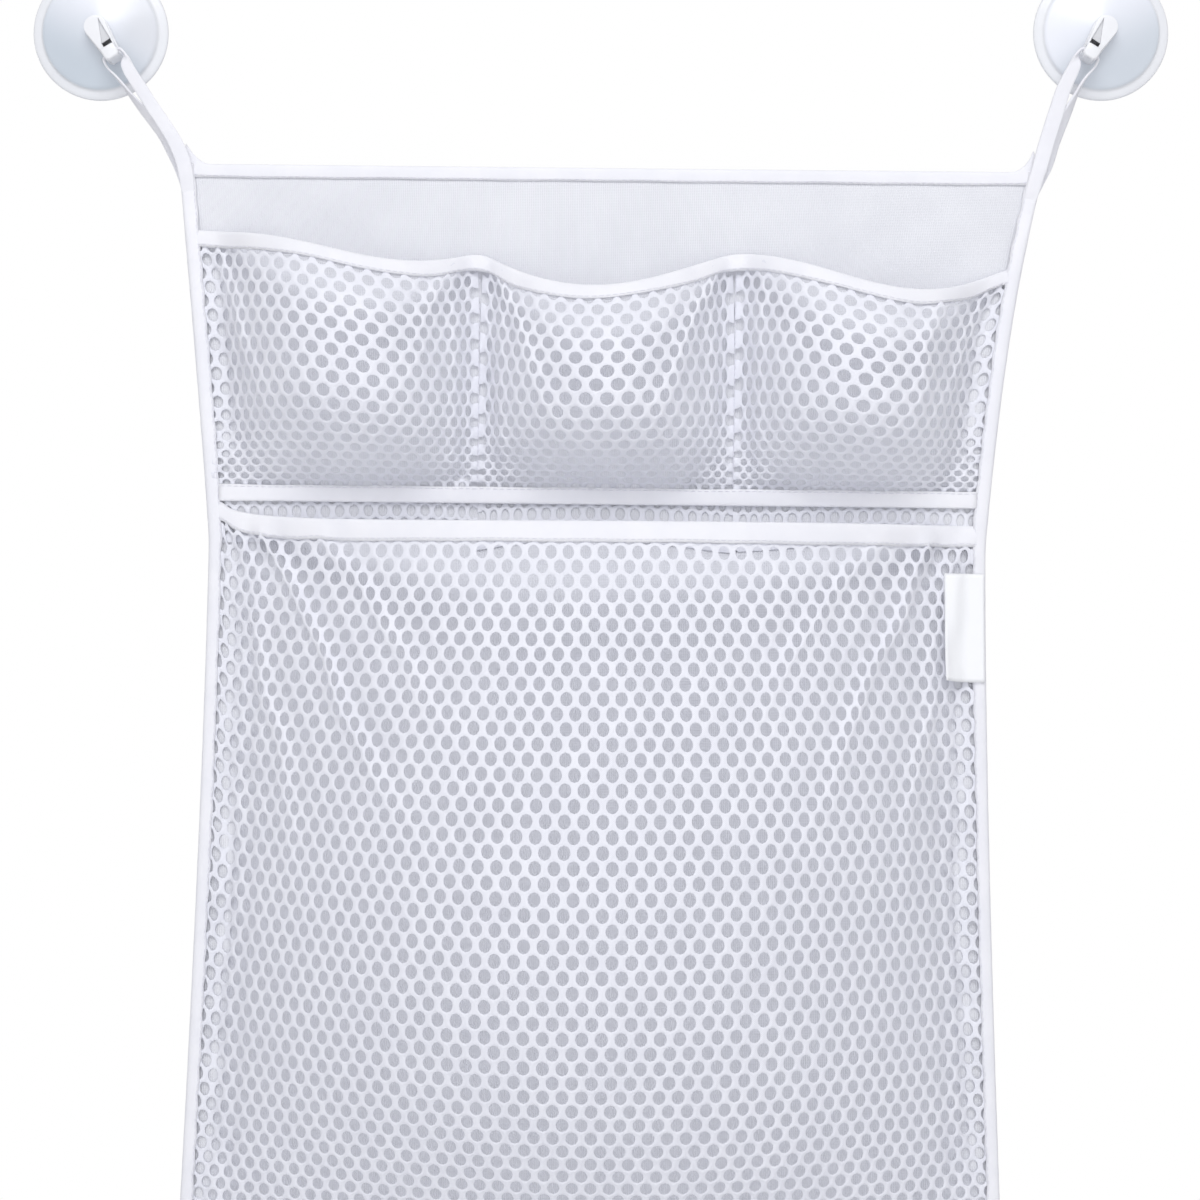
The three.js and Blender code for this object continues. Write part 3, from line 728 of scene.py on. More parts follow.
def perforator():
    """Opens each marked cell, rounds the strands between the holes and closes them."""
    floating, pointing = "FLOAT", "FLOAT_VECTOR"
    tree = Maker(
        "perforated_net", Strand_Thickness="NodeSocketFloat", Material="NodeSocketMaterial"
    )
    raised = tree.node(
        "GeometryNodeExtrudeMesh",
        {"mode": "FACES"},
        tree.given("Geometry"),
        Selection=tree.attribute("open", "BOOLEAN"),
        Offset_Scale=0.0,
        Individual=True,
    )
    top = tree.also(raised, "Top")

    def towards(middle, rim):
        """A share of the way from the middle of a hole to the corner of its cell."""
        share = tree.attribute("hole_share", floating)
        return tree.between("VECTOR", share, tree.attribute(middle, pointing), rim)

    place = towards("centre", tree.node("GeometryNodeInputPosition"))
    shrunk = tree.node("GeometryNodeSetPosition", None, raised, Selection=top, Position=place)
    cloth = towards("cloth_centre", tree.attribute("cloth", pointing))
    for name, kind, value in (("cloth", pointing, cloth), ("rim", floating, 1.0)):
        shrunk = tree.node(
            "GeometryNodeStoreNamedAttribute",
            {"data_type": kind, "domain": "POINT"},
            shrunk,
            Selection=top,
            Name=name,
            Value=value,
        )
    opened = tree.node(
        "GeometryNodeDeleteGeometry", {"domain": "FACE", "mode": "ALL"}, shrunk, Selection=top
    )
    sheet = tree.node("GeometryNodeMergeByDistance", None, opened, Distance=1e-6)
    thin = tree.attribute("rim", floating)
    half = tree.given("Strand Thickness") * 0.5 * (1.0 - thin)
    normal = tree.node("GeometryNodeInputNormal")
    front, back = (
        tree.node("GeometryNodeSetPosition", None, sheet, Offset=tree.scaled(normal, lift))
        for lift in (half, -1.0 * half)
    )
    turned = tree.node("GeometryNodeFlipFaces", None, back)
    both = tree.group.nodes.new("GeometryNodeJoinGeometry")
    for layer in (front, turned):
        tree.group.links.new(layer.socket, both.inputs[0])
    both = Reading(tree, both.outputs[0])
    closed = tree.node("GeometryNodeMergeByDistance", None, both, Distance=1e-6)
    smooth = ("GeometryNodeSetShadeSmooth", {"domain": "EDGE"})
    return tree.end(tree.node(*smooth, closed, thin.above(0.9), False))


# Corners and edge middles of a cell, in quarters of its width and sixths of the way between rows.
# The second half lies opposite the first
CELL = [(0, -4), (1, -3), (2, -2), (2, 0), (2, 2), (1, 3)]
CELL += [(-du, -dv) for du, dv in CELL]

# What each point of a net carries while its holes are made
NET_LAYERS = {
    "centre": "FLOAT_VECTOR",
    "cloth": "FLOAT_VECTOR",
    "cloth_centre": "FLOAT_VECTOR",
    "hole_share": "FLOAT",
    "rim": "FLOAT",
}


def make_net(name, pocket, pitch, row_pitch, hole, thickness):
    """Cells of a staggered net over a pocket, with round holes of a width and a height.
    Half cells along the edges have no hole, and a hole beside a cut edge is open to it."""
    columns, rows = round(pocket.span / pitch), round(pocket.drop / row_pitch)
    last_u, last_v = 4 * columns, 6 * rows
    share_of = {
        (du, dv): 1 / hypot(du * pitch / 2 / hole[0], dv * row_pitch / 3 / hole[1])
        for du, dv in CELL
    }
    known = {}

    def point(key):
        if key not in known:
            known[key] = pocket.at(key[0] / last_u, key[1] / last_v)
        return known[key]

    def on_cloth(key):
        return MM * key[0] / last_u * pocket.span, MM * key[1] / last_v * pocket.drop, 0

    points, faces, carried, opens = [], [], [], []
    for row in range(rows + 1):
        odd = row % 2
        for column in range(columns + 1 - odd):
            centre = (4 * column + 2 * odd, 6 * row)
            keys = []
            for du, dv in CELL:
                clipped = (
                    min(max(centre[0] + du, 0), last_u),
                    min(max(centre[1] + dv, 0), last_v),
                )
                if not keys or keys[-1][0] != clipped:
                    keys.append((clipped, share_of[du, dv]))
            if keys[0][0] == keys[-1][0]:
                keys.pop()
            start = len(points)
            for key, share in keys:
                cut, hemmed = key[0] in (0, last_u), key[1] in (0, last_v)
                cloths = (on_cloth(key), on_cloth(centre))
                shares = (1.0 if cut else share, float(cut or hemmed))
                points.append(point(key))
                carried.append((point(centre) * MM, *cloths, *shares))
            faces.append(tuple(range(start, len(points))))
            opens.append(1 <= row < rows and bool(odd or 0 < column < columns))
    piece = mesh_object(name, points, faces)
    for (layer, kind), values in zip(NET_LAYERS.items(), zip(*carried)):
        add_attribute(piece, layer, kind, "POINT", values)
    add_attribute(piece, "open", "BOOLEAN", "FACE", opens)
    made_by(perforated, piece, Strand_Thickness=MM * thickness, Material=net_material)
    for spare in ("centre", "cloth_centre", "hole_share", "rim", "open"):
        layer = piece.data.attributes.get(spare)
        if layer:
            piece.data.attributes.remove(layer)
    return piece


# Stitches


def stitcher():
    """One bead of thread along each edge of a mesh of loose edges."""
    tree = Maker("stitches", Thread_Thickness="NodeSocketFloat", Material="NodeSocketMaterial")
    middles = tree.node("GeometryNodeMeshToPoints", {"mode": "EDGES"}, tree.given("Geometry"))
    bead = tree.node("GeometryNodeMeshUVSphere", None, 6, 5, 1.0)
    way = tree.attribute("way", "FLOAT_VECTOR")
    turn = tree.node("FunctionNodeAlignRotationToVector", {"axis": "Z"}, Vector=way)
    thick = tree.given("Thread Thickness") * 0.5
    long = tree.attribute("length", "FLOAT") * 0.5
    size = tree.node("ShaderNodeCombineXYZ", None, thick, thick, long)
    beads = tree.node(
        "GeometryNodeInstanceOnPoints", None, middles, Instance=bead, Rotation=turn, Scale=size
    )
    whole = tree.node("GeometryNodeRealizeInstances", None, beads)
    return tree.end(tree.node("GeometryNodeSetShadeSmooth", None, whole))


def spots(line, along, places):
    """Points of a line at some distances along it."""
    return np.stack([np.interp(places, along, line[:, i]) for i in range(3)], axis=-1)


def seam(line, pitch=3.0, share=0.78):
    """Ends of the stitches of a straight lockstitch along a line of points."""
    line = np.asarray(line, float)
    along = lengths(line)
    count = max(1, int(along[-1] / pitch))
    starts = (np.arange(count) + (1 - share) / 2) * along[-1] / count
    ends = starts + share * along[-1] / count
    return list(zip(spots(line, along, starts), spots(line, along, ends)))


def zigzag(line, across, pitch):
    """Ends of the stitches of a zigzag along a line, stepping half of across to either side."""
    line = np.asarray(line, float)
    along = lengths(line)
    count = max(2, int(along[-1] / pitch))
    sides = np.where(np.arange(count + 1) % 2, 1, -1)[:, None] * np.asarray(across, float) / 2
    turns = spots(line, along, np.linspace(0, along[-1], count + 1)) + sides
    return list(zip(turns[:-1], turns[1:]))


def sew(name, stitches, thickness):
    """One object of thread from the ends of its stitches."""
    points = [p for ends in stitches for p in ends]
    edges = [(i, i + 1) for i in range(0, len(points), 2)]
    piece = mesh_object(name, points, edges=edges)
    ways = [np.subtract(b, a) for a, b in stitches]
    add_attribute(piece, "way", "FLOAT_VECTOR", "EDGE", [w / np.linalg.norm(w) for w in ways])
    add_attribute(piece, "length", "FLOAT", "EDGE", [MM * np.linalg.norm(w) for w in ways])
    made_by(stitched, piece, Thread_Thickness=MM * thickness, Material=thread_material)
    return piece


perforated = perforator()
stitched = stitcher()


def dress(piece, body, slot, *nodes):
    """The piece on its body and in place of its nodes. Its slot is not used."""
    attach(piece, body)
    if nodes:
        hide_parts(*nodes)
    return piece


# Width of a cell, way between two rows, width and height of a hole
UPPER_MESH = (8.2, 5.8, (5.5, 5.5))
LOWER_MESH = (8.2, 6.4, (5.5, 6.3))
STRAND_THICKNESS = 0.9
for node, pocket in pockets.items():
    mesh = LOWER_MESH if node == "lower_net" else UPPER_MESH
    net = make_net(node.replace("_net", "_mesh"), pocket, *mesh, STRAND_THICKNESS)
    dress(net, "bag", "net", node)


# Panel


# Level at which both rows of pockets hold the panel flat
SEWN_ACROSS = -214


def panel_wave(x, z):
    """Wrinkles of the panel, in millimetres towards the front."""
    from_side = half_width(z) - SIDE_TAPE_WIDTH - abs(x)
    from_edge = min(from_side, BAG_TOP - TOP_HEM_HEIGHT - z, z - BAG_BOTTOM - 8)
    from_seam = abs(z - SEWN_ACROSS)
    fade = smooth_step((from_edge - 1) / 22) * smooth_step((from_seam - 10) / 16)
    slow = sin(x / 37 + z / 61) * sin(z / 29 - x / 83)
    creases = sin(x / 9.5 + 2.2 * sin(z / 31) + z / 23) * sin(x / 53 + z / 19)
    pull = 0
    for side in (-1, 1):
        from_corner = (TOP_HALF_WIDTH - side * x, BAG_TOP - z)
        lean = from_corner[0] * 0.7 - from_corner[1]
        reach = exp(-hypot(*from_corner) / 60)
        pull += cos(lean / 5.5) * reach
    return fade * (0.55 * slow + 0.28 * creases + 0.9 * pull)


def make_panel():
    columns, rows = 110, 150
    grid = []
    for r in range(rows + 1):
        z = mix(BAG_TOP - 1.2, BAG_BOTTOM + 1.2, r / rows)
        edge = half_width(z) - 1.2
        across = [mix(-edge, edge, c / columns) for c in range(columns + 1)]
        grid.append([(x, -PANEL_DEPTH - panel_wave(x, z), z) for x in across])
    return cloth_piece("panel_knit_cloth", grid, 0.5, panel_material)


panel = dress(make_panel(), "bag", "panel_cloth", "back_panel")


# Tapes

# Folded tape from its back edge over the fold to its front edge: shares of its height and room
TAPE_PROFILE = [
    *((1.0, -0.86), (0.75, -1.0), (0.4, -1.0), (0.12, -0.98), (-0.03, -0.8), (-0.1, -0.42)),
    *((-0.12, 0.0), (-0.1, 0.42), (-0.03, 0.8), (0.12, 0.98), (0.4, 1.06), (0.75, 1.04)),
    (1.0, 0.86),
]
TAPE_THICKNESS = 0.5

# Where a seam runs, as a share of the way to the sewn edge, and how high its thread lies
SEAM_SHARE = 0.76
SEAM_LIFT = 0.34


def ripple(along, size, seed):
    """Small unevenness along a sewn tape."""
    return size * (sin(along / 6.1 + seed) + 0.7 * sin(along / 14.3 + 2 * seed)) / 1.7


def tape_rows(stations, seed):
    """Rows of points of a folded tape.
    A station has its edge point, the way into the cloth, the way to the front, the height of the
    tape and the room behind and before the edge point."""
    along = lengths([s[0] for s in stations])
    rows = []
    for (edge, inward, front, height, back_room, front_room), length in zip(stations, along):
        height = height + ripple(length, 0.18, seed)
        row = []
        for share, side in TAPE_PROFILE:
            room = (back_room if side < 0 else front_room) * side
            lift = ripple(length + 9 * share, 0.1, seed + 1) * share if side > 0 else 0
            row.append(np.asarray(edge) + height * share * inward + (room + lift) * front)
        rows.append(row)
    return rows


def tape_seam(rows, front):
    """A line of points on the tape near its sewn edge, on its front or its back."""
    line = []
    for row in rows:
        a, b = (row[-1], row[-3]) if front else (row[0], row[2])
        outward_way = row[-2] - row[1]
        outward_way = outward_way / np.linalg.norm(outward_way) * (1 if front else -1)
        line.append(mix(a, b, 1 - SEAM_SHARE) + SEAM_LIFT * outward_way)
    return line


all_stitches = []


def add_tape(name, node, stations, seed, both=True):
    """A folded tape with the seams on its front and, unless it is sewn flat, on its back."""
    rows = tape_rows(stations, seed)
    piece = dress(cloth_piece(name, rows, TAPE_THICKNESS, tape_material), "bag", "tape", node)
    for front in (True, False)[: 1 + both]:
        all_stitches.extend(seam(tape_seam(rows, front)))


FRONT = np.array([0.0, -1.0, 0.0])
UP = np.array([0.0, 0.0, 1.0])
RIGHT = np.array([1.0, 0.0, 0.0])


# Below the first level a side tape holds nets and hems too, and below the second it narrows
HOLDS_NETS_FROM = -79
NARROWS_FROM = -205


def side_stations(side):
    stations = []
    for z in np.linspace(BAG_TOP, BAG_BOTTOM, 170):
        front_room = mix(1.5, 3.1, smooth_step((HOLDS_NETS_FROM - z) / 9))
        edge = np.array([side * (half_width(z) - 1.0), -PANEL_DEPTH, z])
        narrowing = 0.7 * smooth_step((NARROWS_FROM - z) / 30)
        wide = SIDE_TAPE_WIDTH - 1.0 - narrowing + 0.28 * sin(z * tau / 12)
        stations.append((edge, -side * RIGHT, FRONT, wide, 0.95, front_room))
    return stations


add_tape("left_side_tape", "left_side_binding", side_stations(-1), 0.3)
add_tape("right_side_tape", "right_side_binding", side_stations(1), 1.7)


def level_stations(z, way, height, depth, rooms, under=0.6, rise=0.0):
    """Stations of a level tape that reaches under the side tapes, its ends raised if wanted."""
    end = float(min(half_width(z), half_width(z + way[2] * height))) - SIDE_TAPE_WIDTH + under
    stations = []
    for x in np.linspace(-end, end, 160):
        lift = rise * max(1 - (end - abs(x)) / 11, 0) ** 2
        edge = np.array([x, -depth, z + lift])
        stations.append((edge, way, FRONT, height + lift, *rooms))
    return stations


top_line = level_stations(BAG_TOP - 0.8, -UP, 5.2, PANEL_DEPTH, (0.8, 0.8), under=4.2, rise=8)
bottom_line = level_stations(BAG_BOTTOM + 0.9, UP, 5.8, PANEL_DEPTH, (0.95, 3.1))
foot_line = level_stations(-207.2, UP, 6.4, NET_DEPTH + 1.1, (0.3, 0.4))
add_tape("top_hem_tape", "top_hem", top_line, 2.1)
add_tape("bottom_tape", "bottom_binding", bottom_line, 0.9)
add_tape("upper_foot_tape", "upper_seam_tape", foot_line, 1.2, both=False)


def mouth_stations(pocket, height, count):
    """The mouth line of a pocket, with the ways down into the net and out to the front."""
    stations = []
    for u in np.linspace(0, 1, count):
        edge = pocket.at(u, 0)
        inward = pocket.at(u, height / pocket.drop) - edge
        stations.append((edge, inward, pocket.normal(u, 0.5 * height / pocket.drop)))
    return stations


def smoothed(values, reach):
    """Each value averaged with as many neighbours on either side, up to the reach."""
    values = np.asarray(values)
    spans = (min(reach, i, len(values) - 1 - i) for i in range(len(values)))
    return [values[i - span : i + span + 1].mean(axis=0) for i, span in enumerate(spans)]


def hem_stations(stations, height, reach):
    """Stations of a mouth tape, evened out where pockets meet."""
    edges, inwards, fronts = (smoothed(column, reach) for column in zip(*stations))
    return [
        (edge, inward / np.linalg.norm(inward), front / np.linalg.norm(front), height, 0.8, 0.85)
        for edge, inward, front in zip(edges, inwards, fronts)
    ]


UPPER_HEM_HEIGHT = 6.4
LOWER_HEM_HEIGHT = 8.4
upper_mouths = []
for node in ("upper_left_net", "upper_middle_net", "upper_right_net"):
    upper_mouths.extend(mouth_stations(pockets[node], UPPER_HEM_HEIGHT, 60)[1:-1])
lower_mouth = mouth_stations(pockets["lower_net"], LOWER_HEM_HEIGHT, 130)
upper_line = hem_stations(upper_mouths, UPPER_HEM_HEIGHT, 3)
lower_line = hem_stations(lower_mouth, LOWER_HEM_HEIGHT, 1)
add_tape("upper_hem_tape", "upper_hem", upper_line, 0.5)
add_tape("lower_hem_tape", "lower_hem", lower_line, 1.1)


# Threads that part the small pockets


for index, word in enumerate(("left", "right")):
    levels = np.linspace(DIVIDER_TOPS[index] - 7, UPPER_FOOT - 0.5, 40)
    line = [(DIVIDERS[index], -(NET_DEPTH + 0.55), z) for z in levels]
    thread = sew(f"{word}_divider_thread", seam(line, 2.7, 0.85), 0.45)
    dress(thread, "bag", "thread", f"{word}_divider_stitching")


# Label

LABEL_TOP = -237
LABEL_HEIGHT = 48
LABEL_WIDTH = 18


def make_label():
    """A folded ribbon that lies on the net and is smoothed over its strands."""
    pocket = pockets["lower_net"]
    us, vs = np.linspace(0.9, 1, 60), np.linspace(0, 0.3, 90)
    net = np.array([pocket.at(u, v) for u in us for v in vs])
    count, across = 26, 16
    rows = []
    for drop in np.linspace(0, 1, count):
        z = LABEL_TOP - LABEL_HEIGHT * drop
        row = []
        for share in np.linspace(0, 1, across):
            x = float(half_width(z)) - 1.2 - LABEL_WIDTH * share
            near = np.hypot(net[:, 0] - x, net[:, 2] - z) < 4.5
            below = max(-net[near, 1].min() if near.any() else 0, 6.3) + 1.25
            curl = 1.6 * share**2 * max(drop - 0.5, 0) + 0.15 * sin(5 * drop + 3 * share)
            row.append((x, -below - curl, z + 1.2 * (share * drop) ** 3))
        rows.append(row)
    rows = np.array(rows)
    depths = rows[:, :, 1]
    for _ in range(3):
        padded = np.pad(depths, 1, "edge")
        moved = (padded[i : i + count, j : j + across] for i in range(3) for j in range(3))
        depths = np.minimum(depths, sum(moved) / 9)
    rows[:, :, 1] = depths
    return cloth_piece("blank_label", rows, 0.7, label_material)


label = dress(make_label(), "bag", "label", "side_label")


# Hangers


def hung(points, side):
    """Points given straight below a cup's axis, turned towards the corner of the bag."""
    points = np.asarray(points, float)
    angle = side * STRAP_ANGLE
    x = points[:, 0] * cos(angle) + points[:, 2] * sin(angle)
    z = -points[:, 0] * sin(angle) + points[:, 2] * cos(angle)
    return np.stack([x + side * CUP_X, points[:, 1], z], axis=-1)


def turned_profile(name, profile, segments, side, material):
    """A closed body turned round the cup's axis from radii and depths."""
    angles = [2 * pi * i / segments for i in range(segments)]
    points = [
        (radius * cos(angle), -depth, radius * sin(angle))
        for radius, depth in profile[1:-1]
        for angle in angles
    ]
    rings = len(profile) - 2
    faces = ring_faces(rings, segments)
    for start, (_, depth) in ((0, profile[0]), ((rings - 1) * segments, profile[-1])):
        points.append((0, -depth, 0))
        for i in range(segments):
            faces.append((start + i, start + (i + 1) % segments, len(points) - 1))
    piece = mesh_object(name, hung(points, side), faces)
    piece.data.materials.append(material)
    return outward(piece)


# Radii and depths of a cup: its hollow, its flat rim, its back, its neck and its head
CUP_PROFILE = [
    *((0, 2.2), (7, 2.17), (14.3, 2.05), (19, 1.7), (22.9, 1.1), (25.2, 0.35)),
    *((26.2, 0.02), (29.2, 0.0), (29.8, 0.12), (30.0, 0.45), (29.8, 0.85), (29.2, 1.15)),
    *((28.0, 1.45), (26.8, 1.65), (26.2, 1.85), (25.8, 2.2), (25.5, 2.7), (25.0, 3.1)),
    *((24.0, 3.4), (22.2, 3.85), (20.0, 4.45), (17.2, 5.25), (14.0, 6.1), (10.8, 6.95)),
    *((8.2, 7.6), (6.4, 8.0), (5.1, 8.3), (3.8, 8.5), (3.3, 8.8), (3.2, 11.5)),
    *((3.3, 11.75), (3.6, 11.8), (3.7, 12.0), (3.7, 12.6), (3.5, 12.9), (0, 12.95)),
]
SIDES = (("left", -1), ("right", 1))

for word, side in SIDES:
    cup = turned_profile(f"{word}_cup_moulding", CUP_PROFILE, 96, side, cup_material)
    dress(cup, "suction_cups", "cup_vinyl", f"{word}_suction_cup")


def prism(name, outline, depths, side, edge=0.0):
    """A flat piece in front of a cup, from an outline in millimetres towards the bag and down."""
    points = [(-side * x, -depth, -drop) for depth in depths for x, drop in outline]
    count = len(outline)
    faces = ring_faces(2, count)
    faces += [tuple(range(count)), tuple(range(2 * count - 1, count - 1, -1))]
    piece = outward(mesh_object(name, hung(points, side), faces))
    if edge:
        sharp = {"limit_method": "ANGLE", "angle_limit": radians(25)}
        modified(piece, "BEVEL", width=MM * edge, segments=3, **sharp)
    return piece


def joined(piece, others, operation):
    """The piece with others added to it or cut from it."""
    for other in others:
        modified(piece, "BOOLEAN", operation=operation, solver="EXACT", object=other)
        bpy.data.objects.remove(other)
    return piece


def foot_of(half, drop, corner):
    """The lower end of an outline, with cut corners."""
    right = [(half, drop - corner), (half - corner, drop)]
    return right + [(-x, z) for x, z in right[::-1]]


def tapered_outline(radius, half, drop, corner):
    """Round above and narrowing to straight sides that end at a drop, with cut corners."""
    turn = asin((radius - half) / drop)
    angles = np.linspace(pi + turn, -turn, 28)
    points = [(radius * cos(a), -radius * sin(a)) for a in angles]
    return points + foot_of(half, drop, corner)


HOOK_HALF_WIDTH = 3.4
HOOK_BOTTOM = 17.4
HOOK_BAR_TOP = 15.8
HOOK_LIP_TOP = 11.4
HOOK_LIP = 2.4
HOOK_CORNER = 1.3
PLATE_RADIUS = 5.3
BOSS_RADIUS = 4.9
BOSS_BOTTOM = 11.4
SOCKET_RADIUS = 3.95
SOCKET_FRONT = 13.2
ENTRY_SHARE = 0.88


def make_hook(word, side):
    """A plate that snaps over the cup's head, with a slot above the bar and a lip before it."""
    lip_back = PLATE_FRONT + TROUGH
    lip_front = lip_back + HOOK_LIP
    wide = HOOK_HALF_WIDTH
    plate = tapered_outline(PLATE_RADIUS, wide, HOOK_BOTTOM, HOOK_CORNER)
    boss = tapered_outline(BOSS_RADIUS, wide, BOSS_BOTTOM, 0.2)
    foot = foot_of(wide, HOOK_BOTTOM, HOOK_CORNER)
    bar, lip = ([(-wide, top), (wide, top), *foot] for top in (HOOK_BAR_TOP, HOOK_LIP_TOP))
    body = prism(f"{word}_hook_moulding", plate, (PLATE_BACK, PLATE_FRONT), side, 0.5)
    parts = [
        prism("boss", boss, (PLATE_FRONT - 0.6, BOSS_FRONT), side, 0.9),
        prism("bar", bar, (PLATE_FRONT - 0.8, lip_front - 0.6), side, 0.5),
        prism("lip", lip, (lip_back, lip_front), side, 0.9),
    ]
    joined(body, parts, "UNION")
    turns = np.linspace(0, 2 * pi, 40, endpoint=False)
    ring = [(SOCKET_RADIUS * cos(a), SOCKET_RADIUS * sin(a)) for a in turns]
    neck = [(ENTRY_SHARE * x, ENTRY_SHARE * z) for x, z in ring]
    slot = [(-1.5, SLOT[0]), (2.8, SLOT[0] - 0.3), (2.8, SLOT[1]), (-1.5, SLOT[1])]
    hollow = [(3.1, -2.7), (3.0, SLOT[0] + 0.4), (-1.7, SLOT[0] + 0.4)]
    cuts = [
        prism("socket", ring, (PLATE_FRONT - 0.2, SOCKET_FRONT), side),
        prism("entry", neck, (PLATE_BACK - 1, PLATE_FRONT), side),
        prism("slot", slot, (PLATE_BACK + 0.6, BOSS_FRONT + 1), side),
        prism("hollow", hollow, (BOSS_FRONT - 0.9, BOSS_FRONT + 1), side),
    ]
    joined(body, cuts, "DIFFERENCE")
    body.data.materials.clear()
    body.data.materials.append(hook_material)
    body.data.shade_smooth()
    body.data.set_sharp_from_angle(angle=radians(38))
    return dress(body, f"{word}_hook_body", "hook_plastic", f"{word}_hook")


for word, side in SIDES:
    make_hook(word, side)


# Strap loops. The tape comes up from the corner in front, lies bunched in the hook and goes back
# down behind itself, a little further out and half turned away.

STRAP_WIDTH = 6.5
LOOP_DEPTH = PLATE_FRONT + TROUGH / 2

# Stations of each strand: drop, shift towards the bag, depth, quarter turns, width, thickness
FRONT_STRAND = [
    (14.1, 0.0, LOOP_DEPTH + 0.4, 0.0, 1.8, 1.8),
    (14.1, 2.1, LOOP_DEPTH + 0.9, 0.0, 1.7, 1.7),
    (14.5, 4.1, LOOP_DEPTH + 1.1, 0.05, 1.8, 1.3),
    (16.2, 4.7, LOOP_DEPTH + 0.8, 0.12, 2.0, 1.1),
    (18.0, 4.7, LOOP_DEPTH + 0.5, 0.35, 2.6, 1.0),
    (19.6, 4.1, LOOP_DEPTH + 0.3, 0.75, 4.0, 1.0),
    (21.2, 3.3, LOOP_DEPTH + 0.1, 1.0, 5.0, 1.0),
    (23.4, 2.8, LOOP_DEPTH - 0.3, 1.0, 5.4, 1.1),
    (29, 2.6, LOOP_DEPTH - 1.8, 1.0, 5.7, 1.1),
    (35, 2.6, 11.3, 1.0, 5.8, 1.1),
    (42, 2.5, 9.9, 1.0, 5.9, 1.1),
    (50, 2.7, 8.8, 1.0, 6.0, 1.1),
    (58, 2.7, 7.9, 1.0, 6.2, 1.1),
    (65, 2.0, 7.2, 1.0, STRAP_WIDTH, 1.1),
    (71, 0.6, 6.7, 1.0, STRAP_WIDTH, 1.0),
    (75.5, -1.2, 6.1, 1.0, 6.4, 0.8),
    (80, -3.3, 5.2, 1.0, 5.8, 0.6),
    (84, -5.1, 4.3, 1.0, 5.2, 0.5),
]
BACK_STRAND = [
    (14.1, 0.0, LOOP_DEPTH + 0.4, 0.0, 1.8, 1.8),
    (14.1, -2.1, LOOP_DEPTH + 0.1, 0.0, 1.8, 1.8),
    (14.5, -4.1, LOOP_DEPTH, 0.0, 1.9, 1.3),
    (16.4, -4.75, LOOP_DEPTH, 0.0, 2.0, 1.1),
    (19.4, -4.75, LOOP_DEPTH - 0.2, 0.03, 2.0, 0.9),
    (22.4, -4.0, LOOP_DEPTH - 0.9, 0.06, 2.4, 1.0),
    (26, -3.4, LOOP_DEPTH - 2.2, 0.1, 3.8, 1.1),
    (32, -2.9, 9.8, 0.2, 4.8, 1.1),
    (39, -2.1, 7.6, 0.36, 5.8, 1.1),
    (47, -0.9, 5.8, 0.48, STRAP_WIDTH, 1.1),
    (55, -0.3, 4.6, 0.55, STRAP_WIDTH, 1.1),
    (62, -0.5, 3.0, 0.72, STRAP_WIDTH, 1.0),
    (68, -0.8, 2.0, 0.95, STRAP_WIDTH, 0.9),
    (77, -2.4, 1.5, 1.0, STRAP_WIDTH, 0.9),
]

# Half of the way round the strap's tape, in shares of its width and thickness. The rest mirrors it
TAPE_ROUND = [(0.5, -0.22), (0.5, 0.22), (0.44, 0.42), (0.3, 0.5)]
TAPE_ROUND += [(0.0, 0.5), (-0.3, 0.5), (-0.44, 0.42)]
TAPE_ROUND += [(-x, -y) for x, y in TAPE_ROUND]


def curved_stations(stations, count):
    """Stations spread evenly along a smooth line through the given ones."""
    table = np.asarray(stations, float)
    along = lengths(table[:, :3])
    slopes = np.gradient(table, along, axis=0)
    result = []
    for s in np.linspace(0, along[-1], count):
        i = int(np.clip(np.searchsorted(along, s) - 1, 0, len(along) - 2))
        gap = along[i + 1] - along[i]
        t = (s - along[i]) / gap
        h00, h10 = (1 + 2 * t) * (1 - t) ** 2, t * (1 - t) ** 2
        h01, h11 = t * t * (3 - 2 * t), t * t * (t - 1)
        start = h00 * table[i] + h10 * gap * slopes[i]
        result.append(start + h01 * table[i + 1] + h11 * gap * slopes[i + 1])
    return np.array(result)


def make_strap(word, side):
    front, back = (curved_stations(strand, 90) for strand in (FRONT_STRAND, BACK_STRAND))
    path = np.concatenate([back[1:][::-1], front])
    inner = -side
    middles = np.stack([inner * path[:, 1], -path[:, 2], -path[:, 0]], axis=-1)
    along = np.gradient(middles, axis=0)
    along /= np.linalg.norm(along, axis=1)[:, None]
    points = []
    for centre, way, (_, _, _, turn, width, thick) in zip(middles, along, path):
        flat = FRONT - way * np.dot(way, FRONT)
        flat /= np.linalg.norm(flat)
        other = np.cross(way, flat)
        other = other if other[0] * inner > 0 else -other
        angle = turn * pi / 2
        wide = cos(angle) * flat + sin(angle) * other
        thin = np.cross(way, wide)
        points += [centre + x * width * wide + y * thick * thin for x, y in TAPE_ROUND]
    size = len(TAPE_ROUND)
    rings = len(path)
    faces = ring_faces(rings, size)
    faces += [tuple(range(size)), tuple(range((rings - 1) * size, rings * size))]
    piece = mesh_object(f"{word}_strap_tape", hung(points, side), faces)
    run = lengths(middles)
    round_it = lengths([points[k] for k in range(size)])
    cloth = [(MM * run[r], MM * round_it[k], 0) for r in range(rings) for k in range(size)]
    add_attribute(piece, "cloth", "FLOAT_VECTOR", "POINT", cloth)
    piece.data.materials.append(tape_material)
    outward(piece)
    return dress(piece, f"{word}_loop", "tape", f"{word}_strap_loop")


for word, side in SIDES:
    make_strap(word, side)
    x = side * CORNER_X + side * 0.3
    line = [(x, -6.5, CORNER_Z - 1.6), (x, -6.05, CORNER_Z - 4.2)]
    tack = sew(f"{word}_tack_thread", zigzag(line, 3.8 * RIGHT, 0.4), 0.3)
    dress(tack, "bag", "thread", f"{word}_corner_tack")

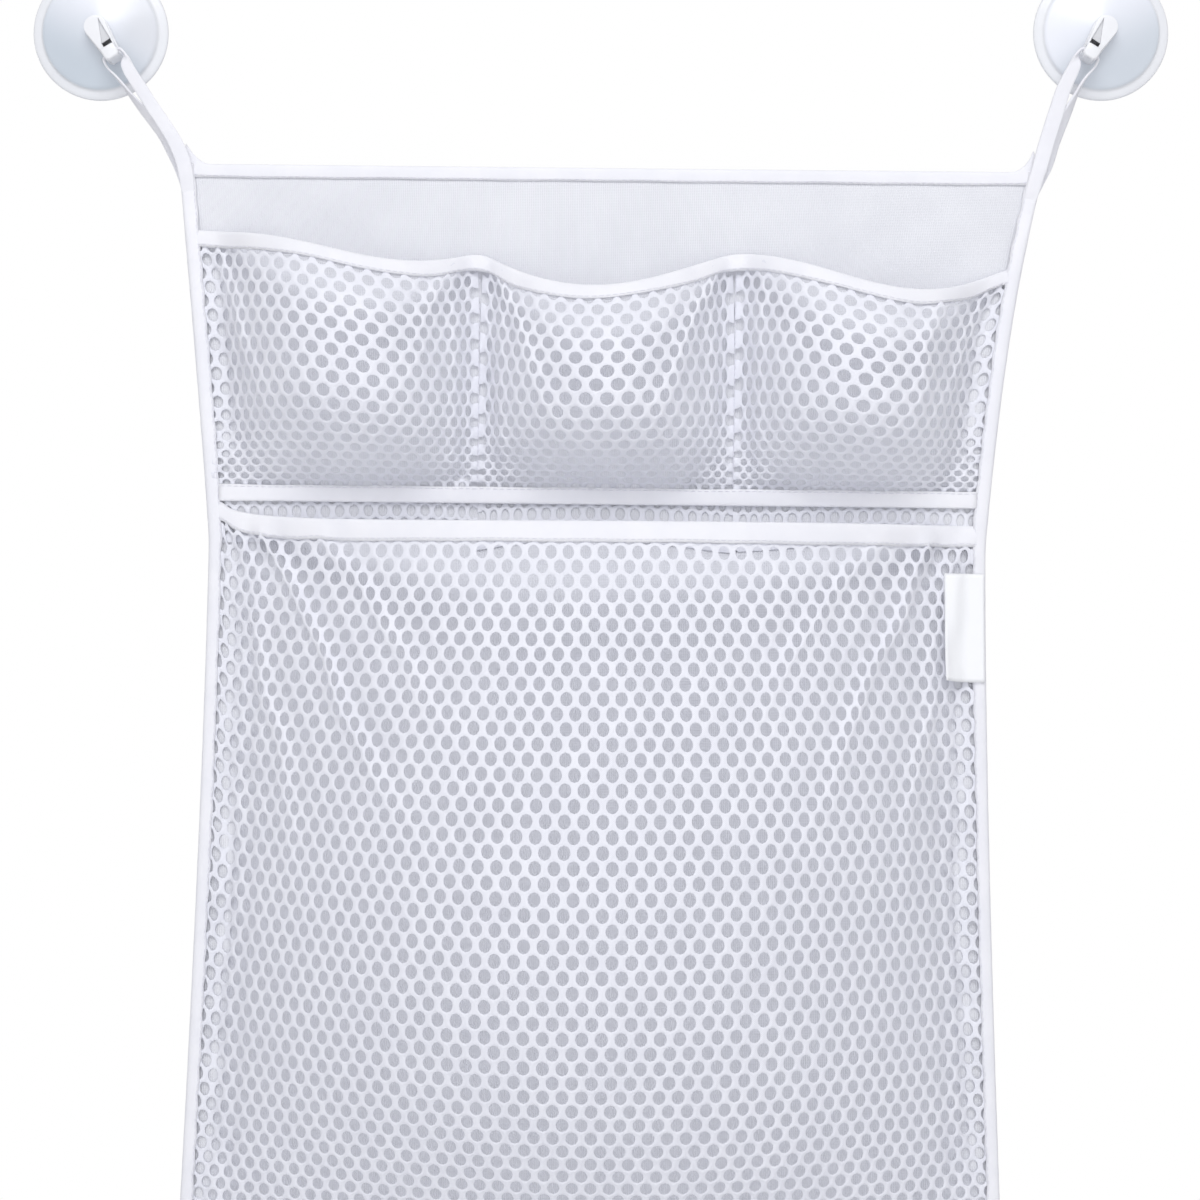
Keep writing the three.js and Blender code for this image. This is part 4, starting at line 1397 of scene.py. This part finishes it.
dress(sew("seam_thread", all_stitches, 0.4), "bag", "thread")


# How the bag hangs: a little askew, with its right corner drawn out towards its hook

ASKEW = radians(0.6)
SETTLED = 1.4
DRAWN_OUT = 9


def hang(place):
    """Where the hanging cloth comes to lie, in millimetres."""
    x, y, z = place
    hangs = smooth_step((-18 - z) / 42)
    sloped = x + sin(ASKEW) * (z - BAG_TOP), z - sin(ASKEW) * x - SETTLED
    below = max(BAG_TOP - z, 0)
    drawn = DRAWN_OUT * smooth_step((x - 40) / 150) * exp(-((below / 55) ** 1.2))
    return mix(x, sloped[0] + drawn, hangs), y, mix(z, sloped[1], hangs)


for piece in bpy.context.scene.objects:
    own = piece.type == "MESH" and piece.name not in frame["nodes"]
    if own and not piece.name.endswith("_moulding"):
        for vertex in piece.data.vertices:
            vertex.co = Vector(hang(vertex.co / MM)) * MM


# Stage, camera and light


def show_white(tree, share, shader, white, output):
    """A share of white in place of what a shader gives."""
    plain = Reading(tree, shader.outputs[0])
    shown = tree.node("ShaderNodeMixShader", None, share, plain, white)
    tree.group.links.new(shown.socket, tree.group.nodes[output].inputs["Surface"])


def make_floor():
    """A pale floor that shines white further out, as the paper round a product does."""
    size, level = 3000, -760
    corners = ((-size, -size), (size, -size), (size, size), (-size, size))
    floor = mesh_object("floor", [(*corner, level) for corner in corners], [(0, 1, 2, 3)])
    finish = Finish("pale_floor", Roughness=0.85, Specular_IOR_Level=0.2)
    place = finish.place()
    x, y, _ = finish.axes(place)
    speck = finish.noise(place, 60.0)
    finish.wear(Base_Color=finish.colour_between(speck, (0.9, 0.9, 0.9), (0.92, 0.92, 0.92)))
    away = (x * x + y * y) ** 0.5
    glow = finish.node("ShaderNodeEmission", None, (1, 1, 1, 1), 1.0)
    share = (0.35 + 0.65 * away.ramp(0.35, 0.9)) * finish.seen_directly()
    show_white(finish, share, finish.shader, glow, "Material Output")
    floor.data.materials.append(finish.material)


make_floor()

PICTURE_WIDTH = 533.3
CAMERA_DISTANCE = 1100
SENSOR = 36
PICTURE_MIDDLE = (-0.4, -251.7)
camera_data = bpy.data.cameras.new("camera")
camera_data.sensor_width = SENSOR
camera_data.lens = SENSOR * CAMERA_DISTANCE / PICTURE_WIDTH
camera = placed("camera", camera_data)
camera.location = (PICTURE_MIDDLE[0] * MM, -CAMERA_DISTANCE * MM, PICTURE_MIDDLE[1] * MM)
camera.rotation_euler = (pi / 2, 0, 0)
bpy.context.scene.camera = camera


def add_lamp(name, place, aim, size, power, colour):
    lamp = bpy.data.lights.new(name, "AREA")
    lamp.shape = "RECTANGLE"
    lamp.size, lamp.size_y = size
    lamp.energy = power
    lamp.color = colour
    holder = placed(name, lamp)
    holder.location = place
    holder.rotation_euler = (Vector(aim) - Vector(place)).to_track_quat("-Z", "Y").to_euler()


add_lamp("key", (0, -1.3, 1.0), (0, 0, -0.3), (1.1, 0.7), 13.5, (1, 1, 1))
add_lamp("fill", (0, -1.9, -0.4), (0, 0, -0.35), (1.6, 1.2), 8.5, (0.97, 0.98, 1))

world = bpy.data.worlds.new("white_room")
bpy.context.scene.world = world
world.use_nodes = True
room = Tree(world.node_tree)
background = world.node_tree.nodes["Background"]
background.inputs["Color"].default_value = (0.97, 0.97, 1, 1)
background.inputs["Strength"].default_value = 0.52
white = room.node("ShaderNodeBackground", None, (1, 1, 1, 1), 1.0)
show_white(room, room.seen_directly(), background, white, "World Output")

bpy.context.scene.view_settings.view_transform = "Standard"
